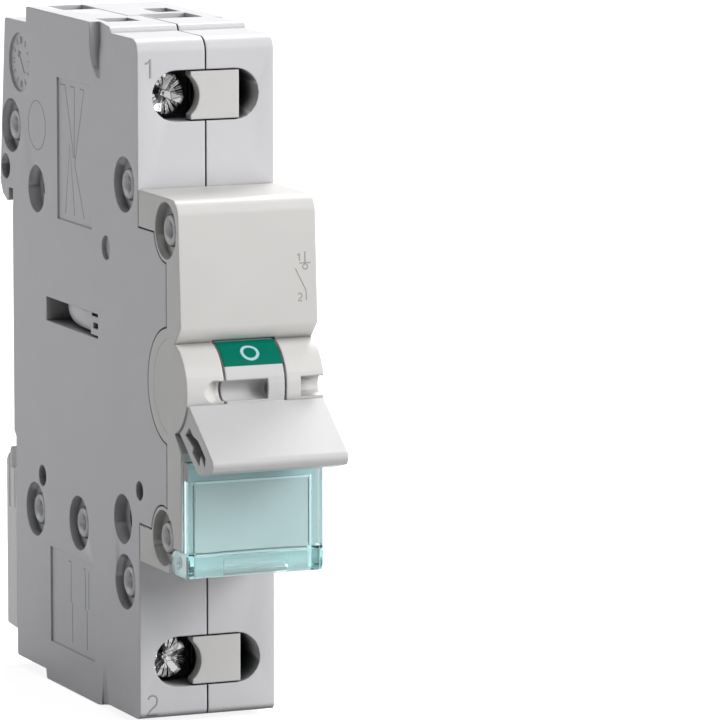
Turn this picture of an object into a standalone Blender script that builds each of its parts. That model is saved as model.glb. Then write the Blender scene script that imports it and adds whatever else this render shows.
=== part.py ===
"""A one-module DIN rail switch disconnector: two riveted half shells, a front cap, a lever that
works a double-break contact, two lift-clamp terminals, a hinged label window and a rail clip.

Frame: X is the width, +Y points back to the rail, +Z is up, and the origin is the centre of the
seat that bears on the rail's front face. Lengths are in metres.
"""

import math

import bmesh
import bpy
from mathutils import Matrix, Vector

MM = 0.001

# Clearances and walls
PARTING_GAP = 0.2 * MM
SEAT_GAP = 0.2 * MM
RUN_GAP = 0.3 * MM
PAST = 2.0 * MM  # how far a cutter runs past the wall that it opens
SHELL_WALL = 1.6 * MM

# Body, seen from its side
WIDTH = 17.5 * MM
HALF = WIDTH / 2
FRONT_INSET = 0.15 * MM  # how far lever and window stand inside the cap's sides
SHOULDER_Y = -43.8 * MM
TERMINAL_TOP_Z = 40.45 * MM
TERMINAL_BOTTOM_Z = -42.15 * MM
MIDDLE_TOP_Z = 41.2 * MM
MIDDLE_BOTTOM_Z = -42.8 * MM
BACK_TOP_Z = 39.2 * MM
BACK_BOTTOM_Z = -41.6 * MM
MIDDLE_FRONT_Y = -34.6 * MM
MIDDLE_BACK_Y = -5.35 * MM
SHOULDER_RADIUS = 1.7 * MM
SEAM_STEP_Y = -22.0 * MM
SEAM_STEP_X = -1.6 * MM

# Rail and the hook and clip that hold it
RAIL_HEIGHT = 35.0 * MM
RAIL_SHEET = 1.0 * MM
RAIL_PLAY = 0.35 * MM
HOOK_GRIP = 1.3 * MM
HOOK_BACK_Y = 4.45 * MM
HOOK_TOP_Y = 2.4 * MM
SEAT_RELIEF = 0.15 * MM  # the seat steps back under the hook's lip
FLANGE_Y = RAIL_SHEET + RAIL_PLAY
RAIL_TOP_Z = RAIL_HEIGHT / 2
CLIP_GRIP = 2.3 * MM
CLIP_TRAVEL = 4.0 * MM
CLIP_BACK_Y = 3.15 * MM
CLIP_LAND_Y = -0.7 * MM
CLIP_BOTTOM_Z = -38.2 * MM
CLIP_INSET = 0.1 * MM
CLIP_HALF_WIDTH = HALF - CLIP_INSET
CLIP_LINES = ((2.05 * MM, 0.4 * MM), (0.2 * MM, 0.25 * MM))  # centre y and width
CLIP_LINE_Z = (-22.9 * MM, -14.6 * MM)
CLIP_KEY_NECK = 3.0 * MM
CLIP_KEY_HEAD = 4.6 * MM
CLIP_KEY_NECK_DEEP = 1.7 * MM
CLIP_KEY_HEAD_DEEP = 1.4 * MM
CLIP_KEY_Z = (-36.0 * MM, -19.3 * MM)

# Nose and its front cap
NOSE_HALF_HEIGHT = 22.5 * MM
NOSE_TOP_Y = -56.75 * MM
NOSE_LOW_Y = -57.6 * MM
NOSE_RADIUS = 2.0 * MM
NOSE_FOOT_RADIUS = 1.2 * MM
CHIN_Z = 7.4 * MM
CHIN_BACK_Y = -55.6 * MM
CAP_WALL = 1.15 * MM
CAP_FRONT_WALL = 1.4 * MM
CAP_SEAM_Y = -53.1 * MM
EAR_HEIGHT = 4.4 * MM
EAR_LOW_Z = NOSE_HALF_HEIGHT - EAR_HEIGHT
CHEEK_RING_RADIUS = 7.0 * MM
TONGUE_Z = 14.2 * MM

# Lever and its drum
TOGGLE_Y = -54.0 * MM
DRUM_RADIUS = 5.6 * MM
DRUM_HALF = 3.72 * MM
DRUM_WALL = 0.65 * MM
TOGGLE_SWING = math.radians(75.0)
PADDLE_INNER_RADIUS = 5.87 * MM
PADDLE_HALF_WIDTH = HALF - FRONT_INSET
PADDLE_THICK = 4.6 * MM
PADDLE_LENGTH = 9.9 * MM
PADDLE_SLOPE = math.radians(36.0)
PADDLE_ROOT_ANGLE = math.radians(14.5)
PADDLE_SKIN = 1.25 * MM
PADDLE_POCKET_DEEP = 3.2 * MM
AXLE_RADIUS = 0.9 * MM
AXLE_COVER = 2.25 * MM
AXLE_HALF = HALF - AXLE_COVER
GROOVE_RADIUS = 1.3 * MM
GROOVE_SINK = 0.65 * MM
GROOVE_RIGHT_X = 1.6 * MM
GROOVE_LEAD = 0.88 * MM
GROOVE_FLARE = 2.0 * MM
GROOVE_LEFT_X = -DRUM_HALF - GROOVE_LEAD
GROOVE_FLARE_X = GROOVE_LEFT_X - GROOVE_FLARE
NOTCH_LONG = 2.95 * MM
NOTCH_LEFT_X = HALF - NOTCH_LONG
WIRE_HOLE_RADIUS = 0.85 * MM

# Crank pin, fork and contact carrier
CRANK_RADIUS = 2.8 * MM
PIN_RADIUS = 0.6 * MM
PIN_X = (-2.3 * MM, 3.3 * MM)
FORK_HALF = 1.2 * MM
FORK_PRONG = 0.8 * MM
FORK_TOP_Z = -1.25 * MM
FORK_BOTTOM_Z = -4.15 * MM
CARRIER_TRAVEL = 2 * CRANK_RADIUS * math.sin(TOGGLE_SWING / 2)
CARRIER_HALF = 3.2 * MM
CARRIER_WINDOW_HALF = 2.2 * MM
CARRIER_HALF_HEIGHT = 4.0 * MM
CARRIER_FRONT_Y = -44.5 * MM
CARRIER_WALL = 1.5 * MM
CHANNEL_BACK_Y = -13.0 * MM
DRUM_ROOM_WALL = 3.25 * MM
DRUM_ROOM_BACK_Y = -45.2 * MM

# Contacts
STRIP_THICK = 1.5 * MM
STRIP_FRONT_Y = -30.6 * MM
STRIP_STEM_HALF = 2.5 * MM
STRIP_END_Z = 8.2 * MM
CONTACT_Z = 10.5 * MM
CONTACT_RADIUS = 1.5 * MM
CONTACT_THICK = 0.8 * MM
CLOSED_GAP = 0.15 * MM
BRIDGE_THICK = 1.2 * MM
BRIDGE_HALF = 1.9 * MM
BRIDGE_REACH = 13.0 * MM
SPRING_WIRE = 0.25 * MM
CONTACT_SPRING_RADIUS = 1.6 * MM
CONTACT_SPRING_LENGTH = 4.2 * MM

# Terminals
TERMINAL_Z = {"upper": 33.5 * MM, "lower": -35.3 * MM}
SCREW_HEAD_RADIUS = 2.65 * MM
SCREW_HEAD_FRONT_Y = -40.1 * MM
SCREW_HEAD_THICK = 1.8 * MM
SCREW_SHANK_RADIUS = 2.4 * MM
SCREW_PITCH = 0.8 * MM
SCREW_TURNS = 5
WELL_HALF_HEIGHT = 3.1 * MM
WELL_SIDE_WALL = 1.85 * MM
WELL_X = (WELL_SIDE_WALL - HALF, HALF - WELL_SIDE_WALL)
WELL_FLOOR_Y = -38.1 * MM
SCREW_PLAY = 0.41 * MM
SCREW_X = WELL_X[0] + SCREW_HEAD_RADIUS + SCREW_PLAY
VOID_WIDE = 2.6 * MM
VOID_BACK_Y = -29.0 * MM
INSERT_RIGHT_X = WELL_X[1] - VOID_WIDE
INSERT_LEFT_X = SCREW_X + 1.94 * MM
INSERT_ARC_RADIUS = 3.05 * MM
INSERT_LIP = 1.7 * MM
INSERT_UNDERCUT_RADIUS = (INSERT_RIGHT_X - SCREW_X) * 0.53
CAGE_HALF_WIDTH = 3.3 * MM
CAGE_HALF_HEIGHT = 4.0 * MM
CAGE_SIDE = 0.5 * MM
CAGE_FRONT = 2.0 * MM
CAGE_BACK = 1.0 * MM
WIRE_GAP = 5.2 * MM
CAGE_SLACK = 0.4 * MM
CHAMBER_FRONT_Y = STRIP_FRONT_Y - RUN_GAP - CAGE_FRONT - SCREW_PITCH * SCREW_TURNS - CAGE_SLACK
CHAMBER_WALL = 0.6 * MM
CHAMBER_RIGHT_X = SCREW_X + CAGE_HALF_WIDTH + RUN_GAP
INSERT_SEAT_X = CHAMBER_RIGHT_X + CHAMBER_WALL
WIRE_ENTRY = (2.86 * MM, 1.34 * MM)  # left and right of the screw
BUSBAR_ENTRY_WALL = 2.35 * MM
BUSBAR_ENTRY_FLOOR = 33.0 * MM
BUSBAR_ENTRY_Y = (-26.8 * MM, -20.9 * MM)

# Rivets, holes and marks in the left face, as (y, z)
RIVETS = {
    "rivet_hook": (0.2, 25.8),
    "rivet_top": (-39.2, 22.6),
    "rivet_nose_top": (-52.9, NOSE_HALF_HEIGHT / MM - 3.9),
    "rivet_foot_back": (-7.7, -21.8),
    "rivet_foot_middle": (-23.1, -21.2),
    "rivet_foot_front": (-39.0, -25.9),
    "rivet_nose_bottom": (-51.7, 4.0 - NOSE_HALF_HEIGHT / MM),
}
RIVET_SINK_RADIUS = 3.4 * MM
RIVET_SINK = 1.2 * MM
RIVET_HEAD_RADIUS = 2.0 * MM
RIVET_HEAD_THICK = 0.6 * MM
RIVET_SHANK_RADIUS = 1.1 * MM
LINK_HOLES = ((-38.3, -18.3, 3.05), (-8.75, 18.75, 2.95))
LINK_HOLE_DEEP = 1.5 * MM
LINK_BORE_RADIUS = 1.6 * MM
PIN_HOLES = ((2.4, 20.4, 1.6), (-10.2, -17.2, 1.35), (-43.9, -14.0, 1.2))
PIN_HOLE_DEEP = 1.2 * MM
MARK_DEEP = 0.2 * MM

# Thumb groove down the top left edge: (depth, back y, valley y, front y, distance below the top),
# and the place of its foot
GROOVE_RINGS = (
    (1.3 * MM, -27.6 * MM, -27.85 * MM, -35.8 * MM, -2.0 * MM),
    (1.3 * MM, -27.6 * MM, -27.85 * MM, -35.8 * MM, 2.6 * MM),
    (1.0 * MM, -27.9 * MM, -28.15 * MM, -35.2 * MM, 4.2 * MM),
    (0.7 * MM, -28.7 * MM, -29.1 * MM, -34.6 * MM, 5.6 * MM),
    (0.3 * MM, -30.1 * MM, -30.4 * MM, -33.6 * MM, 6.5 * MM),
)
GROOVE_FOOT = (-31.8 * MM, 6.9 * MM)

# Pockets in the top, as (x, y) ranges, and how deep they go
TOP_POCKET_DEEP = 3.5 * MM
BACK_POCKET_WALL = 0.6 * MM
BACK_POCKET_LONG = 5.95 * MM
BACK_POCKET_SIDE = 2.55 * MM
MIDDLE_POCKET_X = (2.25 * MM, 3.1 * MM)  # wall beside it, and its width
MIDDLE_POCKET_Y = (-19.0 * MM, -14.1 * MM)

# Label window
WINDOW_HALF_WIDTH = HALF - FRONT_INSET
WINDOW_FRONT_Y = -59.5 * MM
WINDOW_BACK_Y = -57.9 * MM
WINDOW_BELOW_CHIN = 1.0 * MM
WINDOW_TOP_Z = -CHIN_Z - WINDOW_BELOW_CHIN
WINDOW_FOOT = 0.1 * MM
WINDOW_BOTTOM_Z = WINDOW_FOOT - NOSE_HALF_HEIGHT
HINGE_Y = -55.4 * MM
HINGE_RISE = 1.5 * MM
HINGE_Z = WINDOW_BOTTOM_Z + HINGE_RISE
KNUCKLE_RADIUS = 1.45 * MM
KNUCKLE_LONG = 1.1 * MM
KNUCKLE_INNER_X = WINDOW_HALF_WIDTH - KNUCKLE_LONG
STUD_RADIUS = 0.6 * MM
STUD_LONG = 1.0 * MM
STUD_INNER_X = KNUCKLE_INNER_X - STUD_LONG
LABEL_INSET = 1.3 * MM
LABEL_HALF_WIDTH = WINDOW_HALF_WIDTH - LABEL_INSET
LABEL_RISE = 3.0 * MM
LABEL_DROP = 2.7 * MM
LABEL_Z = (WINDOW_BOTTOM_Z + LABEL_RISE, WINDOW_TOP_Z - LABEL_DROP)
LABEL_THICK = 0.25 * MM
WINDOW_POCKET = 0.6 * MM
THUMB_REST_HALF = 4.05 * MM
THUMB_REST_Z = WINDOW_BOTTOM_Z + 2.3 * MM
THUMB_RIDGES = (WINDOW_BOTTOM_Z + 1.65 * MM, WINDOW_BOTTOM_Z + 1.0 * MM)

ROUND_STEPS = 24
FILLET_STEPS = 4


def polar(radius, angle):
    """The (y, z) offset of a point round the lever's axis, with angle 0 at the front and up positive."""
    return -radius * math.cos(angle), radius * math.sin(angle)


def arc(centre, radius, start, end, steps):
    """Points on a circle about centre from angle start to angle end, by the same angles as polar."""
    points = []
    for i in range(steps + 1):
        y, z = polar(radius, start + (end - start) * i / steps)
        points.append((centre[0] + y, centre[1] + z))
    return points


def rounded(corners):
    """An outline from (a, b) corners, where a third value rounds that corner to its radius."""
    outline = []
    for i, corner in enumerate(corners):
        here = Vector(corner[:2])
        if len(corner) < 3:
            outline.append(tuple(here))
            continue
        before = (Vector(corners[i - 1][:2]) - here).normalized()
        after = (Vector(corners[(i + 1) % len(corners)][:2]) - here).normalized()
        half = before.angle(after) / 2
        run = corner[2] / math.tan(half)
        centre = here + (before + after).normalized() * (corner[2] / math.sin(half))
        first = here + before * run - centre
        last = here + after * run - centre
        for step in range(FILLET_STEPS + 1):
            out = first.slerp(last, step / FILLET_STEPS).normalized()
            outline.append(tuple(centre + out * corner[2]))
    return outline


def mesh_object(name, mesh_maker):
    """A new object in the scene whose mesh mesh_maker fills, with its faces pointing out."""
    bm = bmesh.new()
    mesh_maker(bm)
    bmesh.ops.recalc_face_normals(bm, faces=bm.faces)
    mesh = bpy.data.meshes.new(name)
    bm.to_mesh(mesh)
    bm.free()
    obj = bpy.data.objects.new(name, mesh)
    bpy.context.scene.collection.objects.link(obj)
    return obj


def prism(name, outline, low, high, axis="X"):
    """A closed outline pushed from low to high: (y, z) points along X, or (x, z) points along Y."""

    def make(bm):
        if axis == "X":
            corners = [Vector((low, a, b)) for a, b in outline]
            push = Vector((high - low, 0, 0))
        else:
            corners = [Vector((a, low, b)) for a, b in outline]
            push = Vector((0, high - low, 0))
        face = bm.faces.new([bm.verts.new(corner) for corner in corners])
        grown = bmesh.ops.extrude_face_region(bm, geom=[face])
        moved = [v for v in grown["geom"] if isinstance(v, bmesh.types.BMVert)]
        bmesh.ops.translate(bm, verts=moved, vec=push)

    return mesh_object(name, make)


def block(name, x, y, z):
    """A box between the low and high values of x, y and z."""
    return prism(name, [(y[0], z[0]), (y[1], z[0]), (y[1], z[1]), (y[0], z[1])], x[0], x[1])


def rod(name, centre, radius, low, high, axis="X", steps=ROUND_STEPS):
    """A round bar along X about a (y, z) centre, or along Y about an (x, z) centre."""
    circle = arc(centre, radius, 0, 2 * math.pi, steps)[:-1]
    return prism(name, circle, low, high, axis)


def turned(name, profile, place, axis, steps):
    """A solid of revolution: (radius, along) profile from tip to tip, turned about axis at place."""

    def make(bm):
        path = [bm.verts.new((radius, 0, along)) for radius, along in profile]
        edges = [bm.edges.new(pair) for pair in zip(path, path[1:])]
        bmesh.ops.spin(
            bm, geom=path + edges, cent=(0, 0, 0), axis=(0, 0, 1), angle=2 * math.pi,
            steps=steps, use_merge=True,
        )
        bmesh.ops.remove_doubles(bm, verts=bm.verts, dist=1e-7)
        turn = Vector((0, 0, 1)).rotation_difference(Vector(axis)).to_matrix()
        bmesh.ops.rotate(bm, verts=bm.verts, matrix=turn)
        bmesh.ops.translate(bm, verts=bm.verts, vec=place)

    return mesh_object(name, make)


def coil(name, radius, wire, turns, pitch, start, axis, around=20, sides=6):
    """A round-wire spring of so many turns, from start along axis, as one closed tube."""

    def make(bm):
        rings = []
        count = int(turns * around)
        for i in range(count + 1):
            angle = 2 * math.pi * i / around
            out = Vector((math.cos(angle), math.sin(angle), 0))
            middle = out * radius + Vector((0, 0, pitch * i / around))
            ring = []
            for k in range(sides):
                side = 2 * math.pi * k / sides
                offset = out * wire * math.cos(side) + Vector((0, 0, wire * math.sin(side)))
                ring.append(bm.verts.new(middle + offset))
            rings.append(ring)
        for ring, following in zip(rings, rings[1:]):
            for k in range(sides):
                nxt = (k + 1) % sides
                bm.faces.new((ring[k], ring[nxt], following[nxt], following[k]))
        bm.faces.new(rings[0])
        bm.faces.new(reversed(rings[-1]))
        turn = Vector((0, 0, 1)).rotation_difference(Vector(axis)).to_matrix()
        bmesh.ops.rotate(bm, verts=bm.verts, matrix=turn)
        bmesh.ops.translate(bm, verts=bm.verts, vec=start)

    return mesh_object(name, make)


def combine(target, operation, tools):
    """One exact Boolean of target with all the tools, which stay in the file as wire helpers."""
    group = bpy.data.collections.new(f"{target.name}_{operation.lower()}_{len(target.modifiers)}")
    bpy.context.scene.collection.children.link(group)
    for tool in tools:
        group.objects.link(tool)
        tool.hide_render = True
        tool.display_type = "WIRE"
    modifier = target.modifiers.new(operation.title(), "BOOLEAN")
    modifier.operation = operation
    modifier.operand_type = "COLLECTION"
    modifier.collection = group
    modifier.solver = "EXACT"


def cut(target, *tools):
    combine(target, "DIFFERENCE", tools)


def join(target, *tools):
    for tool in tools:
        combine(target, "UNION", [tool])


def finish(obj, colour, roughness, metallic=0.0, alpha=1.0):
    """Gives an object its own Principled material and smooth shading between sharp edges."""
    material = bpy.data.materials.new(obj.name)
    material.use_nodes = True
    shader = material.node_tree.nodes["Principled BSDF"]
    shader.inputs["Base Color"].default_value = (*colour, 1.0)
    shader.inputs["Roughness"].default_value = roughness
    shader.inputs["Metallic"].default_value = metallic
    shader.inputs["Alpha"].default_value = alpha
    obj.data.materials.append(material)
    obj.data.shade_smooth()
    obj.data.set_sharp_from_angle(angle=math.radians(30))


def pivot(name, place):
    """An empty on a joint's axis, which the pieces of a moving body hang from."""
    empty = bpy.data.objects.new(name, None)
    empty.empty_display_size = 3 * MM
    empty.location = place
    bpy.context.scene.collection.objects.link(empty)
    return empty


def hang(empty, *pieces):
    for piece in pieces:
        piece.parent = empty
        piece.matrix_parent_inverse = Matrix.Translation(-Vector(empty.location))


MOULDED_GREY = (0.62, 0.62, 0.60)
CLIP_GREY = (0.72, 0.72, 0.71)
CLEAR_AQUA = (0.45, 0.74, 0.76)
PLATED_STEEL = (0.70, 0.69, 0.66)
SPRING_STEEL = (0.45, 0.45, 0.46)
COPPER = (0.80, 0.42, 0.26)
SILVER = (0.88, 0.87, 0.84)
PAPER = (0.78, 0.82, 0.82)

TOGGLE_AXIS = (TOGGLE_Y, 0.0)
PIN_REST = math.radians(-90) - TOGGLE_SWING / 2
SIDES = {"left": -1, "right": 1}


def mirrored(z_sign, z):
    """A (low, high) pair of heights, turned over for the lower half of the device."""
    return tuple(sorted((z_sign * z[0], z_sign * z[1])))


def body_outline():
    """Side view of the half shells without the tongues that reach under the cap."""
    nose = NOSE_HALF_HEIGHT - CAP_WALL - SEAT_GAP
    nose_front = CAP_SEAM_Y + SEAT_GAP
    land_z = -RAIL_TOP_Z + CLIP_GRIP * 2
    return rounded([
        (HOOK_TOP_Y, BACK_TOP_Z, 0.5 * MM),
        (MIDDLE_BACK_Y, BACK_TOP_Z),
        (MIDDLE_BACK_Y, MIDDLE_TOP_Z, 0.3 * MM),
        (MIDDLE_FRONT_Y, MIDDLE_TOP_Z, 0.6 * MM),
        (MIDDLE_FRONT_Y - 0.3 * MM, TERMINAL_TOP_Z),
        (SHOULDER_Y, TERMINAL_TOP_Z, SHOULDER_RADIUS),
        (SHOULDER_Y, nose),
        (nose_front, nose),
        (nose_front, -nose),
        (SHOULDER_Y, -nose),
        (SHOULDER_Y, TERMINAL_BOTTOM_Z, 0.9 * MM),
        (-33.6 * MM, TERMINAL_BOTTOM_Z),
        (-29.6 * MM, MIDDLE_BOTTOM_Z, 0.8 * MM),
        (-11.3 * MM, MIDDLE_BOTTOM_Z, 0.4 * MM),
        (-11.0 * MM, BACK_BOTTOM_Z),
        (CLIP_LAND_Y, BACK_BOTTOM_Z, 0.4 * MM),
        (CLIP_LAND_Y, land_z - 0.7 * MM),
        (0.0, land_z),
        (0.0, RAIL_TOP_Z - HOOK_GRIP - 0.4 * MM),
        (-SEAT_RELIEF, RAIL_TOP_Z - HOOK_GRIP - 0.4 * MM),
        (-SEAT_RELIEF, RAIL_TOP_Z + RUN_GAP),
        (FLANGE_Y, RAIL_TOP_Z + RUN_GAP),
        (FLANGE_Y, RAIL_TOP_Z - HOOK_GRIP),
        (FLANGE_Y + 0.6 * MM, RAIL_TOP_Z - HOOK_GRIP - 0.1 * MM),
        (HOOK_BACK_Y - 0.95 * MM, RAIL_TOP_Z - 0.65 * MM, 0.5 * MM),
        (HOOK_BACK_Y, RAIL_TOP_Z + 0.9 * MM, 0.5 * MM),
    ])


def stadium(z_middle):
    """The pill-shaped opening in the terminal face, as (x, z) points."""
    left, right = (WELL_X[0] + WELL_HALF_HEIGHT, WELL_X[1] - WELL_HALF_HEIGHT)
    outline = []
    for middle, start in ((left, -90), (right, 90)):
        for i in range(13):
            angle = math.radians(start + 15 * i)
            side = -1 if start == -90 else 1
            outline.append((
                middle + side * WELL_HALF_HEIGHT * math.cos(angle if side < 0 else angle - math.pi),
                z_middle + WELL_HALF_HEIGHT * math.sin(angle),
            ))
    return outline


def void_outline(z_middle):
    """The round end of the opening beside the insert, as (x, z) points."""
    radius = WELL_HALF_HEIGHT - 0.2 * MM
    middle = WELL_X[1] - WELL_HALF_HEIGHT
    reach = math.acos((INSERT_RIGHT_X + SEAT_GAP - middle) / radius)
    outline = []
    for i in range(13):
        angle = reach * (i / 6 - 1)
        outline.append((middle + radius * math.cos(angle), z_middle + radius * math.sin(angle)))
    return outline


def shell_tools(side):
    """Everything that is taken out of both half shells."""
    tools = []
    inner = HALF - SHELL_WALL
    far = HALF + PAST
    channel = CARRIER_HALF + RUN_GAP
    contact_back = bridge_front() + BRIDGE_THICK + 0.8 * MM
    tools.append(block("channel", (-channel, channel), (NOSE_LOW_Y - PAST, CHANNEL_BACK_Y),
                       (FORK_BOTTOM_Z - 0.5 * MM, CARRIER_HALF_HEIGHT + 0.6 * MM)))
    tools.append(block("contact_room", (-inner, inner), (-36 * MM, contact_back),
                       (-BRIDGE_REACH - 1.5 * MM, BRIDGE_REACH + 1.5 * MM)))
    tools.append(block("drum_room", (DRUM_ROOM_WALL - HALF, HALF - DRUM_ROOM_WALL),
                       (NOSE_LOW_Y - PAST, DRUM_ROOM_BACK_Y), (-TONGUE_Z + RUN_GAP, TONGUE_Z - RUN_GAP)))
    tools.append(rod("cheek_room", TOGGLE_AXIS, CHEEK_RING_RADIUS + SEAT_GAP, -far, far, steps=40))
    for level, z_middle in TERMINAL_Z.items():
        sign = 1 if level == "upper" else -1
        tools.append(prism(f"well_{level}", stadium(z_middle), SHOULDER_Y - PAST, WELL_FLOOR_Y, "Y"))
        tools.append(rod(f"screw_hole_{level}", (SCREW_X, z_middle), SCREW_SHANK_RADIUS + RUN_GAP,
                         WELL_FLOOR_Y - PAST, CHAMBER_FRONT_Y + PAST, "Y"))
        reach = CAGE_HALF_HEIGHT + RUN_GAP
        chamber_x = (SCREW_X - CAGE_HALF_WIDTH - SEAT_GAP, CHAMBER_RIGHT_X)
        chamber_y = (CHAMBER_FRONT_Y, cage_front() + cage_depth() + RUN_GAP)
        tools.append(block(f"chamber_{level}", chamber_x, chamber_y, (z_middle - reach, z_middle + reach)))
        pass_x = (SCREW_X - CAGE_HALF_WIDTH + CAGE_SIDE, STRIP_STEM_HALF + 0.5 * MM)
        tools.append(block(f"strip_pass_{level}", pass_x,
                           (STRIP_FRONT_Y - RUN_GAP, STRIP_FRONT_Y + STRIP_THICK + RUN_GAP),
                           mirrored(sign, (BRIDGE_REACH, abs(z_middle)))))
        roof = sign * (MIDDLE_TOP_Z + PAST)
        wire_y = (STRIP_FRONT_Y + STRIP_THICK + 0.5 * MM, STRIP_FRONT_Y + STRIP_THICK + 4.9 * MM)
        tools.append(block(f"wire_entry_{level}", (SCREW_X - WIRE_ENTRY[0], SCREW_X + WIRE_ENTRY[1]), wire_y,
                           tuple(sorted((z_middle, roof)))))
        tools.append(block(f"busbar_entry_{level}",
                           (CHAMBER_RIGHT_X + CHAMBER_WALL, HALF - BUSBAR_ENTRY_WALL), BUSBAR_ENTRY_Y, mirrored(sign, (BUSBAR_ENTRY_FLOOR, abs(roof)))))
        tools.append(prism(f"void_{level}", void_outline(z_middle), WELL_FLOOR_Y - PAST, VOID_BACK_Y, "Y"))
        tools.append(block(f"insert_seat_{level}", (INSERT_SEAT_X, INSERT_RIGHT_X + 0.5 * MM),
                           (WELL_FLOOR_Y - 1 * MM, WELL_FLOOR_Y + 1.6 * MM),
                           (z_middle - WELL_HALF_HEIGHT - 0.7 * MM, z_middle + WELL_HALF_HEIGHT + 0.7 * MM)))
    neck = CLIP_KEY_NECK + RUN_GAP
    head = CLIP_KEY_HEAD + RUN_GAP
    key_z = (MIDDLE_BOTTOM_Z - PAST, CLIP_KEY_Z[1] + 0.6 * MM)
    neck_y = CLIP_LAND_Y - CLIP_KEY_NECK_DEEP
    tools.append(block("clip_neck", (-neck, neck), (neck_y - 0.1 * MM, PAST), key_z))
    tools.append(block("clip_head", (-head, head),
                       (neck_y - CLIP_KEY_HEAD_DEEP - RUN_GAP * 2, neck_y + RUN_GAP), key_z))
    tools.append(thumb_groove(side))
    for name, (y, z) in RIVETS.items():
        tools.append(rod(f"{name}_hole", (y * MM, z * MM), RIVET_SHANK_RADIUS + SEAT_GAP, -far, far,
                         steps=12))
        if "nose" in name:
            pad = RIVET_SINK_RADIUS + 0.4 * MM + SEAT_GAP
            floor = HALF - RIVET_SINK - 1.2 * MM - SEAT_GAP
            tools.append(rod(f"{name}_seat", (y * MM, z * MM), pad, side * floor, side * far))
        else:
            floor = HALF - RIVET_SINK
            tools.append(rod(f"{name}_sink", (y * MM, z * MM), RIVET_SINK_RADIUS, side * floor, side * far))
    for y, z, radius in LINK_HOLES:
        floor = HALF - LINK_HOLE_DEEP
        tools.append(rod("link_sink", (y * MM, z * MM), radius * MM, side * floor, side * far))
        tools.append(rod("link_bore", (y * MM, z * MM), LINK_BORE_RADIUS, -far, far, steps=16))
    for y, z, radius in PIN_HOLES:
        floor = HALF - PIN_HOLE_DEEP
        tools.append(rod("pin_hole", (y * MM, z * MM), radius * MM, side * floor, side * far, steps=16))
    for z in (EAR_LOW_Z - SEAT_GAP, -NOSE_HALF_HEIGHT):
        high = z + NOSE_HALF_HEIGHT - EAR_LOW_Z + SEAT_GAP
        tools.append(block("ear_seat", tuple(sorted((side * (HALF - CAP_WALL - SEAT_GAP), side * far))),
                           (CAP_SEAM_Y - PAST, SHOULDER_Y), (z, high)))
    return tools


def thumb_groove(side):
    """A vertical groove, steep behind and sloping in front, whose foot runs out into the side."""
    past = side * (HALF + 0.3 * MM)

    def make(bm):
        rings = []
        for depth, back, valley, front, down in GROOVE_RINGS:
            plan = ((past, back), (side * (HALF - depth), valley), (past, front))
            rings.append([bm.verts.new((x, y, MIDDLE_TOP_Z - down)) for x, y in plan])
        foot = bm.verts.new((past, GROOVE_FOOT[0], MIDDLE_TOP_Z - GROOVE_FOOT[1]))
        bm.faces.new(rings[0])
        for upper, lower in zip(rings, rings[1:]):
            for i in range(3):
                k = (i + 1) % 3
                bm.faces.new((upper[i], upper[k], lower[k], lower[i]))
        for i in range(3):
            bm.faces.new((rings[-1][i], rings[-1][(i + 1) % 3], foot))

    return mesh_object("thumb_groove", make)


def left_tools():
    """What only the left shell shows: the link slot, the dial and the bare panels."""
    outside = -HALF - PAST
    mark = -HALF + MARK_DEEP
    return [
        block("link_slot", (outside, -CARRIER_HALF), (-30.1 * MM, -12.0 * MM), (2.65 * MM, 5.65 * MM)),
        rod("dial_sink", (-2.8 * MM, 34.0 * MM), 3.7 * MM, outside, -HALF + 0.3 * MM),
        rod("round_sink", (-33.0 * MM, 14.2 * MM), 1.5 * MM, outside, -HALF + 0.5 * MM, steps=16),
        block("panel_top", (outside, mark), (-28.1 * MM, -16.2 * MM), (15.9 * MM, 33.4 * MM)),
        block("panel_foot", (outside, mark), (-28.4 * MM, -12.9 * MM), (-37.7 * MM, -25.7 * MM)),
        block("top_pocket_back", (BACK_POCKET_SIDE - HALF, SEAM_STEP_X + 0.5 * MM),
              (MIDDLE_BACK_Y - BACK_POCKET_WALL - BACK_POCKET_LONG, MIDDLE_BACK_Y - BACK_POCKET_WALL),
              (MIDDLE_TOP_Z - TOP_POCKET_DEEP, MIDDLE_TOP_Z + PAST)),
    ]


def right_tools():
    return [
        block("top_pocket_middle",
              (HALF - MIDDLE_POCKET_X[0] - MIDDLE_POCKET_X[1], HALF - MIDDLE_POCKET_X[0]),
              MIDDLE_POCKET_Y, (MIDDLE_TOP_Z - TOP_POCKET_DEEP, MIDDLE_TOP_Z + PAST)),
    ]


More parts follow.
